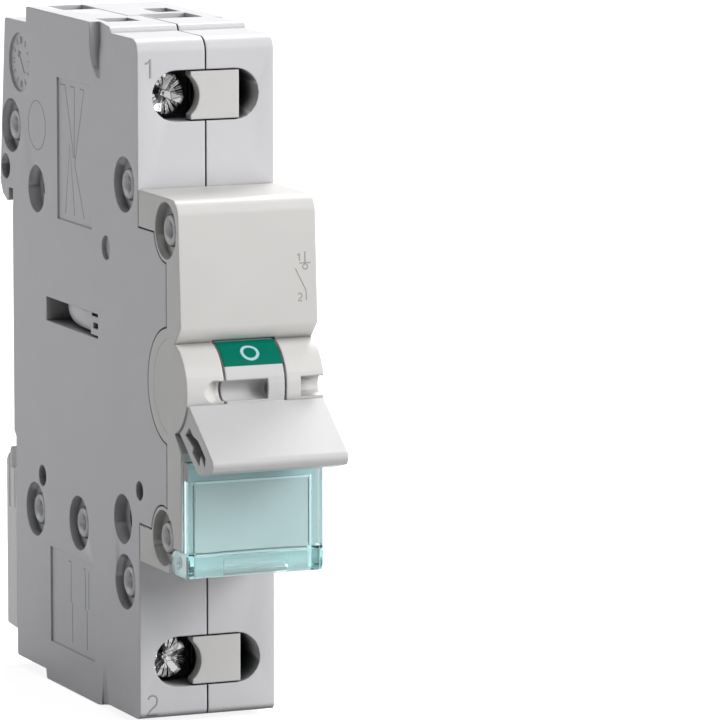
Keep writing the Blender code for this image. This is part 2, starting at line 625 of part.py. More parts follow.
def half_shell(name, extra_tools):
    """A moulded half: outline and tongues pushed from the parting plane, then every room and hole cut."""
    side = SIDES[name]
    inside = side * PARTING_GAP / 2
    behind = SEAM_STEP_X + inside
    past_step = SEAM_STEP_Y + inside
    tall = NOSE_HALF_HEIGHT * 2
    if side < 0:
        shell = prism(f"housing_{name}", body_outline(), -HALF, inside)
        stepped = block("seam_step", (behind, HALF), (past_step, HOOK_BACK_Y + PAST), (-tall, tall))
    else:
        shell = prism(f"housing_{name}", body_outline(), behind, HALF)
        stepped = block("seam_step", (-HALF, inside), (NOSE_LOW_Y, past_step), (-tall, tall))
    cut(shell, stepped)
    tongue_front = NOSE_TOP_Y + CAP_FRONT_WALL + RUN_GAP
    top = NOSE_HALF_HEIGHT - CAP_WALL - SEAT_GAP - 0.05 * MM
    step = CAP_SEAM_Y + 1.5 * MM
    tongue_half = HALF - SHELL_WALL - 0.15 * MM
    low_half = STUD_INNER_X - 0.9 * MM
    join(
        shell,
        prism("tongue_top", [(step, TONGUE_Z), (step, top), (tongue_front + 1.3 * MM, top),
                             (tongue_front, top - 1.3 * MM), (tongue_front, TONGUE_Z)],
              inside, side * tongue_half),
        block("tongue_low", (inside, side * low_half), (tongue_front, step), (-top, -TONGUE_Z)),
    )
    cut(shell, *shell_tools(side), *extra_tools)
    finish(shell, MOULDED_GREY, 0.45)
    return shell


def cap_outline():
    """Side view of the nose: rounded top, chin and the cheeks that stand out round the drum."""
    chin_angle = math.acos((TOGGLE_Y - CHIN_BACK_Y) / DRUM_RADIUS)
    cheek = arc(TOGGLE_AXIS, DRUM_RADIUS, chin_angle, -chin_angle, 16)
    back = SHOULDER_Y - SEAT_GAP
    foot = NOSE_LOW_Y
    upper = rounded([
        (back, NOSE_HALF_HEIGHT),
        (NOSE_TOP_Y, NOSE_HALF_HEIGHT, NOSE_RADIUS),
        (NOSE_LOW_Y, CHIN_Z),
        (cheek[0][0], cheek[0][1]),
    ])[:-1]
    lower = rounded([
        (cheek[-1][0], cheek[-1][1]),
        (foot, -CHIN_Z),
        (foot, -NOSE_HALF_HEIGHT, NOSE_FOOT_RADIUS),
        (back, -NOSE_HALF_HEIGHT),
    ])[1:]
    return upper + cheek + lower


def cap_side_opening():
    """What lies behind the cap's side seam, with a round bite left for the cheek rings."""
    back = SHOULDER_Y + PAST
    bite = math.acos((TOGGLE_Y - CAP_SEAM_Y) / CHEEK_RING_RADIUS)
    ring = arc(TOGGLE_AXIS, CHEEK_RING_RADIUS, bite, 2 * math.pi - bite, 24)
    upper = [(back, EAR_LOW_Z), (CAP_SEAM_Y, EAR_LOW_Z)]
    return upper + ring + [(CAP_SEAM_Y, -EAR_LOW_Z), (back, -EAR_LOW_Z)]


def sheared_rod(name, centre_high, centre_low, radius, x_high, x_low):
    """A round cutter along X whose centre moves from one (y, z) to another."""

    def make(bm):
        rings = []
        for x, centre in ((x_low, centre_low), (x_high, centre_high)):
            circle = arc(centre, radius, 0, 2 * math.pi, 20)[:-1]
            rings.append([bm.verts.new((x, y, z)) for y, z in circle])
        bm.faces.new(rings[0])
        bm.faces.new(reversed(rings[1]))
        for k in range(20):
            nxt = (k + 1) % 20
            bm.faces.new((rings[0][k], rings[1][k], rings[1][nxt], rings[0][nxt]))

    return mesh_object(name, make)


def nose_cap():
    """The one-piece front: face, chin, both cheeks, ears back to the shoulder and the rivet pads."""
    cap = prism("nose_cover", cap_outline(), -HALF, HALF)
    roof = NOSE_HALF_HEIGHT - CAP_WALL
    front = NOSE_TOP_Y + CAP_FRONT_WALL
    ear = HALF - CAP_WALL
    seat = HALF - SHELL_WALL + 0.1 * MM
    back = SHOULDER_Y + PAST
    low_seat = STUD_INNER_X - 0.6 * MM
    mid = TOGGLE_Y - 0.5 * MM
    room = [(CAP_SEAM_Y - 0.2 * MM, roof), (front + 1.0 * MM, roof), (front, roof - 1.0 * MM),
            (front, CHIN_Z + 2 * MM), (mid, CHIN_Z), (mid, -CHIN_Z), (front, -CHIN_Z - 2 * MM),
            (front, -EAR_LOW_Z + 0.2 * MM),
            (CAP_SEAM_Y - 0.2 * MM, -EAR_LOW_Z + 0.2 * MM)]
    cut(
        cap,
        block("cap_back_room", (-ear, ear), (CAP_SEAM_Y - 0.3 * MM, back), (-roof, roof)),
        prism("cap_room", room, -seat, seat),
        block("cap_low_room", (-low_seat, low_seat), (front, CAP_SEAM_Y), (-roof, -EAR_LOW_Z + 0.4 * MM)),
        prism("cap_side_opening", cap_side_opening(), -HALF - PAST, HALF + PAST),
    )
    inner = DRUM_HALF + RUN_GAP
    for side in SIDES.values():
        join(cap, rod("cheek", TOGGLE_AXIS, DRUM_RADIUS - 0.02 * MM, side * inner,
                      side * (HALF - 0.4 * MM), steps=40))
        for name, (y, z) in RIVETS.items():
            if "nose" in name:
                join(cap, rod(f"{name}_pad", (y * MM, z * MM), RIVET_SINK_RADIUS + 0.4 * MM,
                              side * (HALF - RIVET_SINK - 1.2 * MM), side * (HALF - 0.02 * MM), steps=32))
    groove_y = TOGGLE_Y - DRUM_RADIUS + GROOVE_SINK
    tools = [
        rod("drum_opening", TOGGLE_AXIS, DRUM_RADIUS + RUN_GAP, -inner, inner, steps=40),
        sheared_rod("groove_flare", (groove_y, 0), (groove_y - 2.0 * MM, 0), GROOVE_RADIUS,
                    GROOVE_LEFT_X, GROOVE_FLARE_X),
        rod("groove_cheek", (groove_y, 0), GROOVE_RADIUS, GROOVE_LEFT_X - 0.01 * MM, -DRUM_HALF, steps=20),
        rod("notch_right", (groove_y, 0), GROOVE_RADIUS, NOTCH_LEFT_X, HALF + PAST, steps=20),
        rod("wire_hole_cheek", (groove_y, 0), WIRE_HOLE_RADIUS, DRUM_HALF, NOTCH_LEFT_X + 1 * MM, steps=16),
    ]
    for side in SIDES.values():
        tools.append(rod("axle_bore", TOGGLE_AXIS, AXLE_RADIUS + 0.15 * MM, side * (inner - 1 * MM),
                         side * (AXLE_HALF + 0.3 * MM), steps=20))
        notch_back = HINGE_Y + KNUCKLE_RADIUS + RUN_GAP
        tools.append(block("knuckle_notch",
                           tuple(sorted((side * (KNUCKLE_INNER_X - 0.2 * MM), side * (HALF + PAST)))),
                           (notch_back - 4.3 * MM - PAST, notch_back),
                           (-NOSE_HALF_HEIGHT - PAST, HINGE_Z + KNUCKLE_RADIUS + 0.2 * MM)))
        tools.append(rod("stud_hole", (HINGE_Y, HINGE_Z), STUD_RADIUS + 0.15 * MM,
                         side * (STUD_INNER_X - 0.3 * MM), side * HALF, steps=16))
        for name, (y, z) in RIVETS.items():
            if "nose" in name:
                tools.append(rod(f"{name}_cap_sink", (y * MM, z * MM), RIVET_SINK_RADIUS,
                                 side * (HALF - RIVET_SINK), side * (HALF + PAST), steps=28))
                tools.append(rod(f"{name}_cap_hole", (y * MM, z * MM), RIVET_SHANK_RADIUS + SEAT_GAP,
                                 side * (HALF - RIVET_SINK - PAST), side * (HALF + PAST), steps=12))
    label_x = LABEL_HALF_WIDTH + 0.2 * MM
    tools.append(block("label_seat", (-label_x, label_x),
                       (NOSE_LOW_Y - PAST, NOSE_LOW_Y + LABEL_THICK + 0.1 * MM),
                       (LABEL_Z[0] - 0.2 * MM, LABEL_Z[1] + 0.2 * MM)))
    cut(cap, *tools)
    finish(cap, MOULDED_GREY, 0.42)
    return cap


def along_paddle(s, n):
    """A (y, z) point of the lever: s along its top face from the drum, n down into its thickness."""
    root = polar(PADDLE_INNER_RADIUS, -PADDLE_ROOT_ANGLE)
    forward = Vector((-math.cos(PADDLE_SLOPE), -math.sin(PADDLE_SLOPE)))
    down = Vector((math.sin(PADDLE_SLOPE), -math.cos(PADDLE_SLOPE)))
    point = Vector((TOGGLE_Y + root[0], root[1])) + forward * s + down * n
    return tuple(point)


def paddle_outline(inner_radius):
    """The lever in side view, from the drum out to the rounded lip and back along the underside."""
    lip = PADDLE_LENGTH
    thick = PADDLE_THICK
    heel = math.radians(61.5)
    inner = arc(TOGGLE_AXIS, inner_radius, -heel, -PADDLE_ROOT_ANGLE, 8)
    outer = rounded([
        along_paddle(0.0, 0.0),
        (*along_paddle(lip, 0.0), 0.7 * MM),
        (*along_paddle(lip + 0.1 * MM, 1.3 * MM), 0.4 * MM),
        along_paddle(lip - 2.1 * MM, thick - 0.75 * MM),
        (*along_paddle(lip - 3.2 * MM, thick), 0.6 * MM),
        along_paddle(0.25 * MM, thick),
    ])
    return outer + inner


def toggle_lever():
    """The lever and drum in one moulding, hollow at both ends of the paddle and slotted for the fork."""
    lever = rod("toggle", TOGGLE_AXIS, DRUM_RADIUS, -DRUM_HALF, DRUM_HALF, steps=48)
    join(
        lever,
        prism("paddle_wings", paddle_outline(PADDLE_INNER_RADIUS), -PADDLE_HALF_WIDTH, PADDLE_HALF_WIDTH),
        prism("paddle_neck", paddle_outline(DRUM_RADIUS - 0.5 * MM), -DRUM_HALF + 0.02 * MM,
              DRUM_HALF - 0.02 * MM),
    )
    inside = DRUM_RADIUS - DRUM_WALL
    front, exit_low, back = math.radians(-64), math.radians(-116), math.radians(-247)
    fork_slot = ([TOGGLE_AXIS] + arc(TOGGLE_AXIS, inside, front, exit_low, 6)
                 + arc(TOGGLE_AXIS, DRUM_RADIUS + PAST, exit_low, back, 12))
    slot_half = FORK_HALF + RUN_GAP
    groove_y = TOGGLE_Y - DRUM_RADIUS + GROOVE_SINK
    pin_y, pin_z = polar(CRANK_RADIUS, PIN_REST)
    tools = [
        prism("fork_slot", fork_slot, -slot_half, slot_half),
        rod("groove", (groove_y, 0), GROOVE_RADIUS, -DRUM_HALF - PAST, GROOVE_RIGHT_X, steps=20),
        rod("wire_hole", (groove_y, 0), WIRE_HOLE_RADIUS, 0, DRUM_HALF + PAST, steps=16),
        rod("axle_hole", TOGGLE_AXIS, AXLE_RADIUS + 0.1 * MM, -DRUM_HALF - PAST, DRUM_HALF + PAST, steps=20),
        rod("spring_room", TOGGLE_AXIS, 2.6 * MM, -DRUM_HALF - PAST, -DRUM_HALF + 1.2 * MM),
        rod("pin_hole", (TOGGLE_Y + pin_y, pin_z), PIN_RADIUS + 0.1 * MM, PIN_X[0] - 0.1 * MM,
            DRUM_HALF + PAST, steps=12),
    ]
    hollow = [
        along_paddle(1.7 * MM, 1.9 * MM), along_paddle(3.1 * MM, 1.9 * MM),
        along_paddle(4.6 * MM, PADDLE_SKIN), along_paddle(7.6 * MM, PADDLE_SKIN),
        along_paddle(8.1 * MM, 2.3 * MM), along_paddle(6.3 * MM, 2.1 * MM),
        along_paddle(6.7 * MM, 3.4 * MM), along_paddle(4.1 * MM, 3.6 * MM),
        along_paddle(4.1 * MM, 2.9 * MM), along_paddle(1.3 * MM, 3.5 * MM),
    ]
    for side in SIDES.values():
        tools.append(prism("paddle_hollow", hollow, side * (PADDLE_HALF_WIDTH - PADDLE_POCKET_DEEP),
                           side * (PADDLE_HALF_WIDTH + PAST)))
    cut(lever, *tools)
    finish(lever, MOULDED_GREY, 0.4)
    return lever


def toggle_parts():
    """The lever with its axle, return spring and drive pin."""
    lever = toggle_lever()
    axle = rod("toggle_axle", TOGGLE_AXIS, AXLE_RADIUS, -AXLE_HALF, AXLE_HALF, steps=20)
    finish(axle, PLATED_STEEL, 0.3, 1.0)
    start = -DRUM_HALF + 0.3 * MM
    spring = coil("toggle_spring", 1.55 * MM, 0.18 * MM, 2, 0.33 * MM,
                  (start, TOGGLE_Y, 0), (1, 0, 0), around=16)
    finish(spring, SPRING_STEEL, 0.35, 1.0)
    pin_y, pin_z = polar(CRANK_RADIUS, PIN_REST)
    pin = rod("drive_pin", (TOGGLE_Y + pin_y, pin_z), PIN_RADIUS, *PIN_X, steps=12)
    finish(pin, PLATED_STEEL, 0.3, 1.0)
    hang(pivot("toggle_pivot", (0, TOGGLE_Y, 0)), lever, spring, pin)
    return axle


def bridge_front():
    """Y of the contact bridge's front face with the switch off."""
    tips = STRIP_FRONT_Y + STRIP_THICK + SEAT_GAP + CONTACT_THICK + CLOSED_GAP
    return tips + CARRIER_TRAVEL + CONTACT_THICK + SEAT_GAP


def contact_carrier():
    """The sliding frame: a fork for the drive pin in front, a window for the bridge behind."""
    pin_y = TOGGLE_Y + polar(CRANK_RADIUS, PIN_REST)[0]
    slot_half = PIN_RADIUS + 0.2 * MM
    front = pin_y - slot_half - FORK_PRONG
    bridge_y = bridge_front()
    window_front = bridge_y - SEAT_GAP
    cross_front = window_front - CARRIER_WALL
    window_back = bridge_y + BRIDGE_THICK + CONTACT_SPRING_LENGTH + 2 * SEAT_GAP
    rear = window_back + CARRIER_WALL
    fork = [
        (front, FORK_TOP_Z), (front, FORK_TOP_Z - 1.75 * MM), (front + 1.4 * MM, FORK_BOTTOM_Z),
        (CARRIER_FRONT_Y + 1 * MM, FORK_BOTTOM_Z), (CARRIER_FRONT_Y + 1 * MM, FORK_TOP_Z),
    ]
    carrier = block("contact_carrier", (-CARRIER_HALF, CARRIER_HALF), (CARRIER_FRONT_Y, rear),
                    (-CARRIER_HALF_HEIGHT, CARRIER_HALF_HEIGHT))
    lug_x = -HALF + SHELL_WALL + RUN_GAP
    join(
        carrier,
        prism("fork_arm", fork, -FORK_HALF, FORK_HALF),
        block("link_lug", (lug_x, -CARRIER_HALF + 0.5 * MM), (-29.8 * MM, -27.0 * MM), (2.9 * MM, 5.4 * MM)),
    )
    window = CARRIER_WINDOW_HALF
    tall = CARRIER_HALF_HEIGHT + PAST
    cut(
        carrier,
        block("pin_slot", (-FORK_HALF - PAST, FORK_HALF + PAST), (pin_y - slot_half, pin_y + slot_half),
              (-CRANK_RADIUS - PIN_RADIUS - 0.15 * MM, 0)),
        block("front_window", (-window, window), (CARRIER_FRONT_Y + 2 * MM, cross_front), (-tall, tall)),
        block("bridge_window", (-window, window), (window_front, window_back), (-tall, tall)),
        block("lug_eye", (lug_x - PAST, -CARRIER_HALF - 0.3 * MM), (-29.1 * MM, -27.8 * MM),
              (3.5 * MM, 4.8 * MM)),
    )
    finish(carrier, (0.75, 0.74, 0.70), 0.5)
    return carrier


def contacts():
    """The sprung bridge that rides in the carrier, with its two silver tips."""
    bridge_y = bridge_front()
    bridge = block("contact_bridge", (-BRIDGE_HALF, BRIDGE_HALF), (bridge_y, bridge_y + BRIDGE_THICK),
                   (-BRIDGE_REACH, BRIDGE_REACH))
    finish(bridge, COPPER, 0.35, 1.0)
    tips = []
    for level, sign in (("upper", 1), ("lower", -1)):
        tip = rod(f"moving_contact_{level}", (0, sign * CONTACT_Z), CONTACT_RADIUS,
                  bridge_y - SEAT_GAP - CONTACT_THICK, bridge_y - SEAT_GAP, "Y", steps=20)
        finish(tip, SILVER, 0.3, 1.0)
        tips.append(tip)
    turns = 5
    pitch = (CONTACT_SPRING_LENGTH - 2 * SPRING_WIRE) / turns
    spring_y = bridge_y + BRIDGE_THICK + SEAT_GAP + SPRING_WIRE
    spring = coil("contact_spring", CONTACT_SPRING_RADIUS, SPRING_WIRE, turns, pitch, (0, spring_y, 0),
                  (0, 1, 0), around=16)
    finish(spring, SPRING_STEEL, 0.35, 1.0)
    return [bridge, spring] + tips


def fixed_contact(level, sign, z_middle):
    """A stamped copper strip from the terminal cage down to the contact room, and its silver tip."""
    tab_x = (SCREW_X - CAGE_HALF_WIDTH + CAGE_SIDE + RUN_GAP, SCREW_X + CAGE_HALF_WIDTH - CAGE_SIDE - RUN_GAP)
    tab_end = abs(z_middle) + CAGE_HALF_HEIGHT - 0.3 * MM
    stem = STRIP_STEM_HALF
    outline = [
        (tab_x[0], tab_end), (tab_x[1], tab_end), (tab_x[1], 24.0 * MM), (stem, 22.0 * MM),
        (stem, STRIP_END_Z), (-stem, STRIP_END_Z), (-stem, 17.0 * MM), (tab_x[0], 20.0 * MM),
    ]
    outline = [(x, sign * z) for x, z in outline]
    strip = prism(f"fixed_strip_{level}", outline, STRIP_FRONT_Y, STRIP_FRONT_Y + STRIP_THICK, "Y")
    finish(strip, COPPER, 0.35, 1.0)
    tip_y = STRIP_FRONT_Y + STRIP_THICK + SEAT_GAP
    tip = rod(f"fixed_contact_{level}", (0, sign * CONTACT_Z), CONTACT_RADIUS, tip_y, tip_y + CONTACT_THICK,
              "Y", steps=20)
    finish(tip, SILVER, 0.3, 1.0)


def cage_front():
    """Y of the cage's front face with the terminal open."""
    return STRIP_FRONT_Y - RUN_GAP - CAGE_FRONT


def cage_depth():
    return CAGE_FRONT + RUN_GAP + STRIP_THICK + WIRE_GAP + CAGE_BACK


def terminal(level, z_middle):
    """A lift clamp: the captive screw, the cage that climbs along it, and the insert beside it."""
    front = cage_front()
    tip_y = STRIP_FRONT_Y - RUN_GAP
    under_head = SCREW_HEAD_FRONT_Y + SCREW_HEAD_THICK
    head = SCREW_HEAD_RADIUS
    profile = [
        (0, SCREW_HEAD_FRONT_Y), (head - 0.4 * MM, SCREW_HEAD_FRONT_Y),
        (head, SCREW_HEAD_FRONT_Y + 0.35 * MM),
        (head, under_head), (SCREW_SHANK_RADIUS, under_head), (SCREW_SHANK_RADIUS, tip_y - 0.6 * MM),
        (SCREW_SHANK_RADIUS - 0.6 * MM, tip_y), (0, tip_y),
    ]
    screw = turned(f"terminal_screw_{level}", profile, (SCREW_X, 0, z_middle), (0, 1, 0), ROUND_STEPS)
    slot = block("screw_slot", (SCREW_X - head - PAST, SCREW_X + head + PAST),
                 (SCREW_HEAD_FRONT_Y - PAST, SCREW_HEAD_FRONT_Y + 0.7 * MM),
                 (z_middle - 0.4 * MM, z_middle + 0.4 * MM))
    cross = block("screw_cross", (SCREW_X - 0.45 * MM, SCREW_X + 0.45 * MM),
                  (SCREW_HEAD_FRONT_Y - PAST, SCREW_HEAD_FRONT_Y + 1.2 * MM),
                  (z_middle - 1.5 * MM, z_middle + 1.5 * MM))
    cut(screw, slot, cross)
    finish(screw, PLATED_STEEL, 0.25, 1.0)
    hang(pivot(f"screw_axis_{level}", (SCREW_X, under_head, z_middle)), screw)

    half = CAGE_HALF_WIDTH
    inner = half - CAGE_SIDE
    cage = block(f"terminal_cage_{level}", (SCREW_X - half, SCREW_X + half), (front, front + cage_depth()),
                 (z_middle - CAGE_HALF_HEIGHT, z_middle + CAGE_HALF_HEIGHT))
    cut(
        cage,
        block("cage_window", (SCREW_X - inner, SCREW_X + inner),
              (front + CAGE_FRONT, front + cage_depth() - CAGE_BACK),
              (z_middle - CAGE_HALF_HEIGHT - PAST, z_middle + CAGE_HALF_HEIGHT + PAST)),
        rod("cage_thread", (SCREW_X, z_middle), SCREW_SHANK_RADIUS + SEAT_GAP, front - PAST,
            front + CAGE_FRONT + 1 * MM, "Y"),
    )
    finish(cage, PLATED_STEEL, 0.4, 1.0)
    hang(pivot(f"cage_slide_{level}", (SCREW_X, front, z_middle)), cage)

    tall = WELL_HALF_HEIGHT - 0.2 * MM
    bite = math.asin(INSERT_LEFT_X / INSERT_ARC_RADIUS - SCREW_X / INSERT_ARC_RADIUS)
    hollow = []
    for i in range(11):
        angle = (math.pi / 2 - bite) * (1 - i / 5)
        hollow.append((SCREW_X + INSERT_ARC_RADIUS * math.cos(angle),
                       z_middle + INSERT_ARC_RADIUS * math.sin(angle)))
    outline = ([(INSERT_LEFT_X, z_middle - tall), (INSERT_RIGHT_X, z_middle - tall),
                (INSERT_RIGHT_X, z_middle + tall), (INSERT_LEFT_X, z_middle + tall)] + hollow)
    insert = prism(f"terminal_insert_{level}", outline, SHOULDER_Y, WELL_FLOOR_Y - SEAT_GAP, "Y")
    flange = block("insert_flange", (INSERT_SEAT_X + SEAT_GAP, INSERT_RIGHT_X),
                   (WELL_FLOOR_Y - 0.8 * MM, WELL_FLOOR_Y + 1.4 * MM),
                   (z_middle - WELL_HALF_HEIGHT - 0.4 * MM, z_middle + WELL_HALF_HEIGHT + 0.4 * MM))
    undercut = rod("insert_undercut", (SCREW_X, z_middle), INSERT_UNDERCUT_RADIUS, SHOULDER_Y + INSERT_LIP,
                   WELL_FLOOR_Y, "Y")
    cut(insert, undercut)
    join(insert, flange)
    finish(insert, MOULDED_GREY, 0.45)


def rail_clip():
    """The sliding foot: a T-shaped key in the shells, and a lip that springs behind the rail."""
    shelf = -RAIL_TOP_Z - RUN_GAP
    lip = -RAIL_TOP_Z + CLIP_GRIP
    front = CLIP_LAND_Y + RUN_GAP
    outline = rounded([
        (front, shelf), (FLANGE_Y, shelf), (FLANGE_Y, lip), (CLIP_BACK_Y, shelf + 0.75 * MM, 0.3 * MM),
        (CLIP_BACK_Y, CLIP_BOTTOM_Z + 0.12 * MM, 0.3 * MM), (front, CLIP_BOTTOM_Z - 0.12 * MM, 0.3 * MM),
    ])
    clip = prism("rail_clip", outline, -CLIP_HALF_WIDTH, CLIP_HALF_WIDTH)
    neck_y = CLIP_LAND_Y - CLIP_KEY_NECK_DEEP
    join(
        clip,
        block("key_neck", (-CLIP_KEY_NECK, CLIP_KEY_NECK), (neck_y - 0.3 * MM, front + 0.5 * MM), CLIP_KEY_Z),
        block("key_head", (-CLIP_KEY_HEAD, CLIP_KEY_HEAD), (neck_y - CLIP_KEY_HEAD_DEEP, neck_y - 0.1 * MM),
              CLIP_KEY_Z),
    )
    ribs = [
        block("grip_line", (side * (CLIP_HALF_WIDTH - 0.35 * MM), side * (CLIP_HALF_WIDTH + PAST)),
              (middle - wide / 2, middle + wide / 2), CLIP_LINE_Z)
        for side in SIDES.values() for middle, wide in CLIP_LINES
    ]
    cut(
        clip,
        block("tool_slot", (-2.6 * MM, 2.6 * MM), (0.9 * MM, CLIP_BACK_Y + PAST), (-36.6 * MM, -35.3 * MM)),
        *ribs,
    )
    finish(clip, CLIP_GREY, 0.5)
    hang(pivot("clip_slide", (0, 0, shelf)), clip)


def label_window():
    """The clear flap: a thick plate with a label pocket behind, and two knuckles with hinge studs."""
    plate = [
        (WINDOW_BACK_Y, WINDOW_TOP_Z), (WINDOW_FRONT_Y, WINDOW_TOP_Z, 0.4 * MM),
        (WINDOW_FRONT_Y, WINDOW_BOTTOM_Z, 0.9 * MM), (WINDOW_BACK_Y, WINDOW_BOTTOM_Z),
    ]
    window = prism("label_window", rounded(plate), -WINDOW_HALF_WIDTH, WINDOW_HALF_WIDTH)
    knuckle = arc((HINGE_Y, HINGE_Z), KNUCKLE_RADIUS, math.radians(90), math.radians(270), 12)
    arm_front = WINDOW_BACK_Y - 0.5 * MM
    arm = knuckle + [(arm_front, HINGE_Z - KNUCKLE_RADIUS), (arm_front, HINGE_Z + KNUCKLE_RADIUS)]
    for side in SIDES.values():
        join(window, prism("knuckle", arm, side * KNUCKLE_INNER_X, side * (WINDOW_HALF_WIDTH - 0.02 * MM)))
        join(window, rod("stud", (HINGE_Y, HINGE_Z), STUD_RADIUS, side * STUD_INNER_X,
                         side * (KNUCKLE_INNER_X + 0.5 * MM), steps=12))
    pocket = LABEL_HALF_WIDTH + 0.1 * MM
    rest = (-THUMB_REST_HALF, THUMB_REST_HALF)
    cut(
        window,
        block("label_pocket", (-pocket, pocket), (WINDOW_BACK_Y - WINDOW_POCKET, WINDOW_BACK_Y + PAST),
              (LABEL_Z[0] - 0.4 * MM, LABEL_Z[1] + 0.3 * MM)),
        block("thumb_rest", rest, (WINDOW_FRONT_Y - PAST, WINDOW_FRONT_Y + 0.3 * MM),
              (WINDOW_BOTTOM_Z - PAST, THUMB_REST_Z)),
        *[block("thumb_ridge", rest, (WINDOW_FRONT_Y - PAST, WINDOW_FRONT_Y + 0.55 * MM),
                (z - 0.15 * MM, z + 0.15 * MM)) for z in THUMB_RIDGES],
    )
    finish(window, CLEAR_AQUA, 0.08, alpha=0.5)
    hang(pivot("window_hinge", (0, HINGE_Y, HINGE_Z)), window)
    card = block("label_card", (-LABEL_HALF_WIDTH, LABEL_HALF_WIDTH),
                 (NOSE_LOW_Y - 0.1 * MM, NOSE_LOW_Y + LABEL_THICK - 0.1 * MM), LABEL_Z)
    finish(card, PAPER, 0.8)


def rivet(name, y, z):
    """A tubular rivet closed at both ends: a shank and two domed heads, each with a dimple."""
    floor = HALF - RIVET_SINK + SEAT_GAP
    top = floor + RIVET_HEAD_THICK
    head = RIVET_HEAD_RADIUS
    half_profile = [
        (0.0, top - 0.55 * MM), (0.35 * MM, top - 0.5 * MM), (0.9 * MM, top),
        (head - 0.6 * MM, top - 0.05 * MM),
        (head, floor + 0.25 * MM), (head, floor), (RIVET_SHANK_RADIUS, floor),
    ]
    profile = half_profile + [(radius, -along) for radius, along in reversed(half_profile)]
    piece = turned(name, profile, (0, y * MM, z * MM), (1, 0, 0), 16)
    finish(piece, PLATED_STEEL, 0.4, 1.0)


def main():
    for obj in list(bpy.data.objects):
        bpy.data.objects.remove(obj)
    half_shell("left", left_tools())
    half_shell("right", right_tools())
    nose_cap()
    toggle_parts()
    carrier = contact_carrier()
    hang(pivot("carrier_slide", (0, CARRIER_FRONT_Y, 0)), carrier, *contacts())
    for level, z_middle in TERMINAL_Z.items():
        sign = 1 if level == "upper" else -1
        fixed_contact(level, sign, z_middle)
        terminal(level, z_middle)
    rail_clip()
    label_window()
    for name, (y, z) in RIVETS.items():
        rivet(name, y, z)


main()
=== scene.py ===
"""A one-module DIN rail switch disconnector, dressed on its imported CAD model."""

import math

import bmesh
import bpy
from mathutils import Matrix, Vector


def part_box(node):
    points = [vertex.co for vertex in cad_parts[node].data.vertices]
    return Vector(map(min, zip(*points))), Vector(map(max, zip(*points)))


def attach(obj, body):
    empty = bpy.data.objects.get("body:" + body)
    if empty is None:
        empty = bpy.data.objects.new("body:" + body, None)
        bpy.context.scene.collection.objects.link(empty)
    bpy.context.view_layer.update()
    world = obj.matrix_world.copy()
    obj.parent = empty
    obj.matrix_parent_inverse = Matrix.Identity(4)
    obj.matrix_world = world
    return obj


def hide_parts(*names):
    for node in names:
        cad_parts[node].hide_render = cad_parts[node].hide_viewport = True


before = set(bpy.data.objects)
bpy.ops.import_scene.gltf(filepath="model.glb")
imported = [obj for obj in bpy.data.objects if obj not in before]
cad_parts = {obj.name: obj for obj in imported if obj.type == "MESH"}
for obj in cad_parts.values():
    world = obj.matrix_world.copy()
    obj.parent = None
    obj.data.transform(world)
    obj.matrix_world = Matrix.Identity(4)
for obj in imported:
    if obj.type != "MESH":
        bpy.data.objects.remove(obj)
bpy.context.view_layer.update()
MM = 0.001

# The two half shells are moulded in a light grey thermoplastic with a fine spark-eroded skin.
# They carry everything else, and meet on a thin dark seam that steps to the left at the back.
# Their outer edges leave the mould with a small round that catches the light.
SHELL_GREY = (0.630, 0.631, 0.650)
SHELL_EDGE = 0.26 * MM
# The skin darkens the colour in hollows, down to HOLLOW_SHADE: painted shade in creases, recesses
# and wells.
HOLLOW_SHADE = 0.03
HOLLOW_REACH = 6.5 * MM
HOLLOW_BELOW = 0.54
GLOSS_DRIFT = 0.10
GROOVE_RADIUS = 2.6 * MM
GROOVE_TALL = 12 * MM
GROOVE_TILT = -3.2
GROOVE_PLACE = (-11.12 * MM, -32.1 * MM, -40.2 * MM)


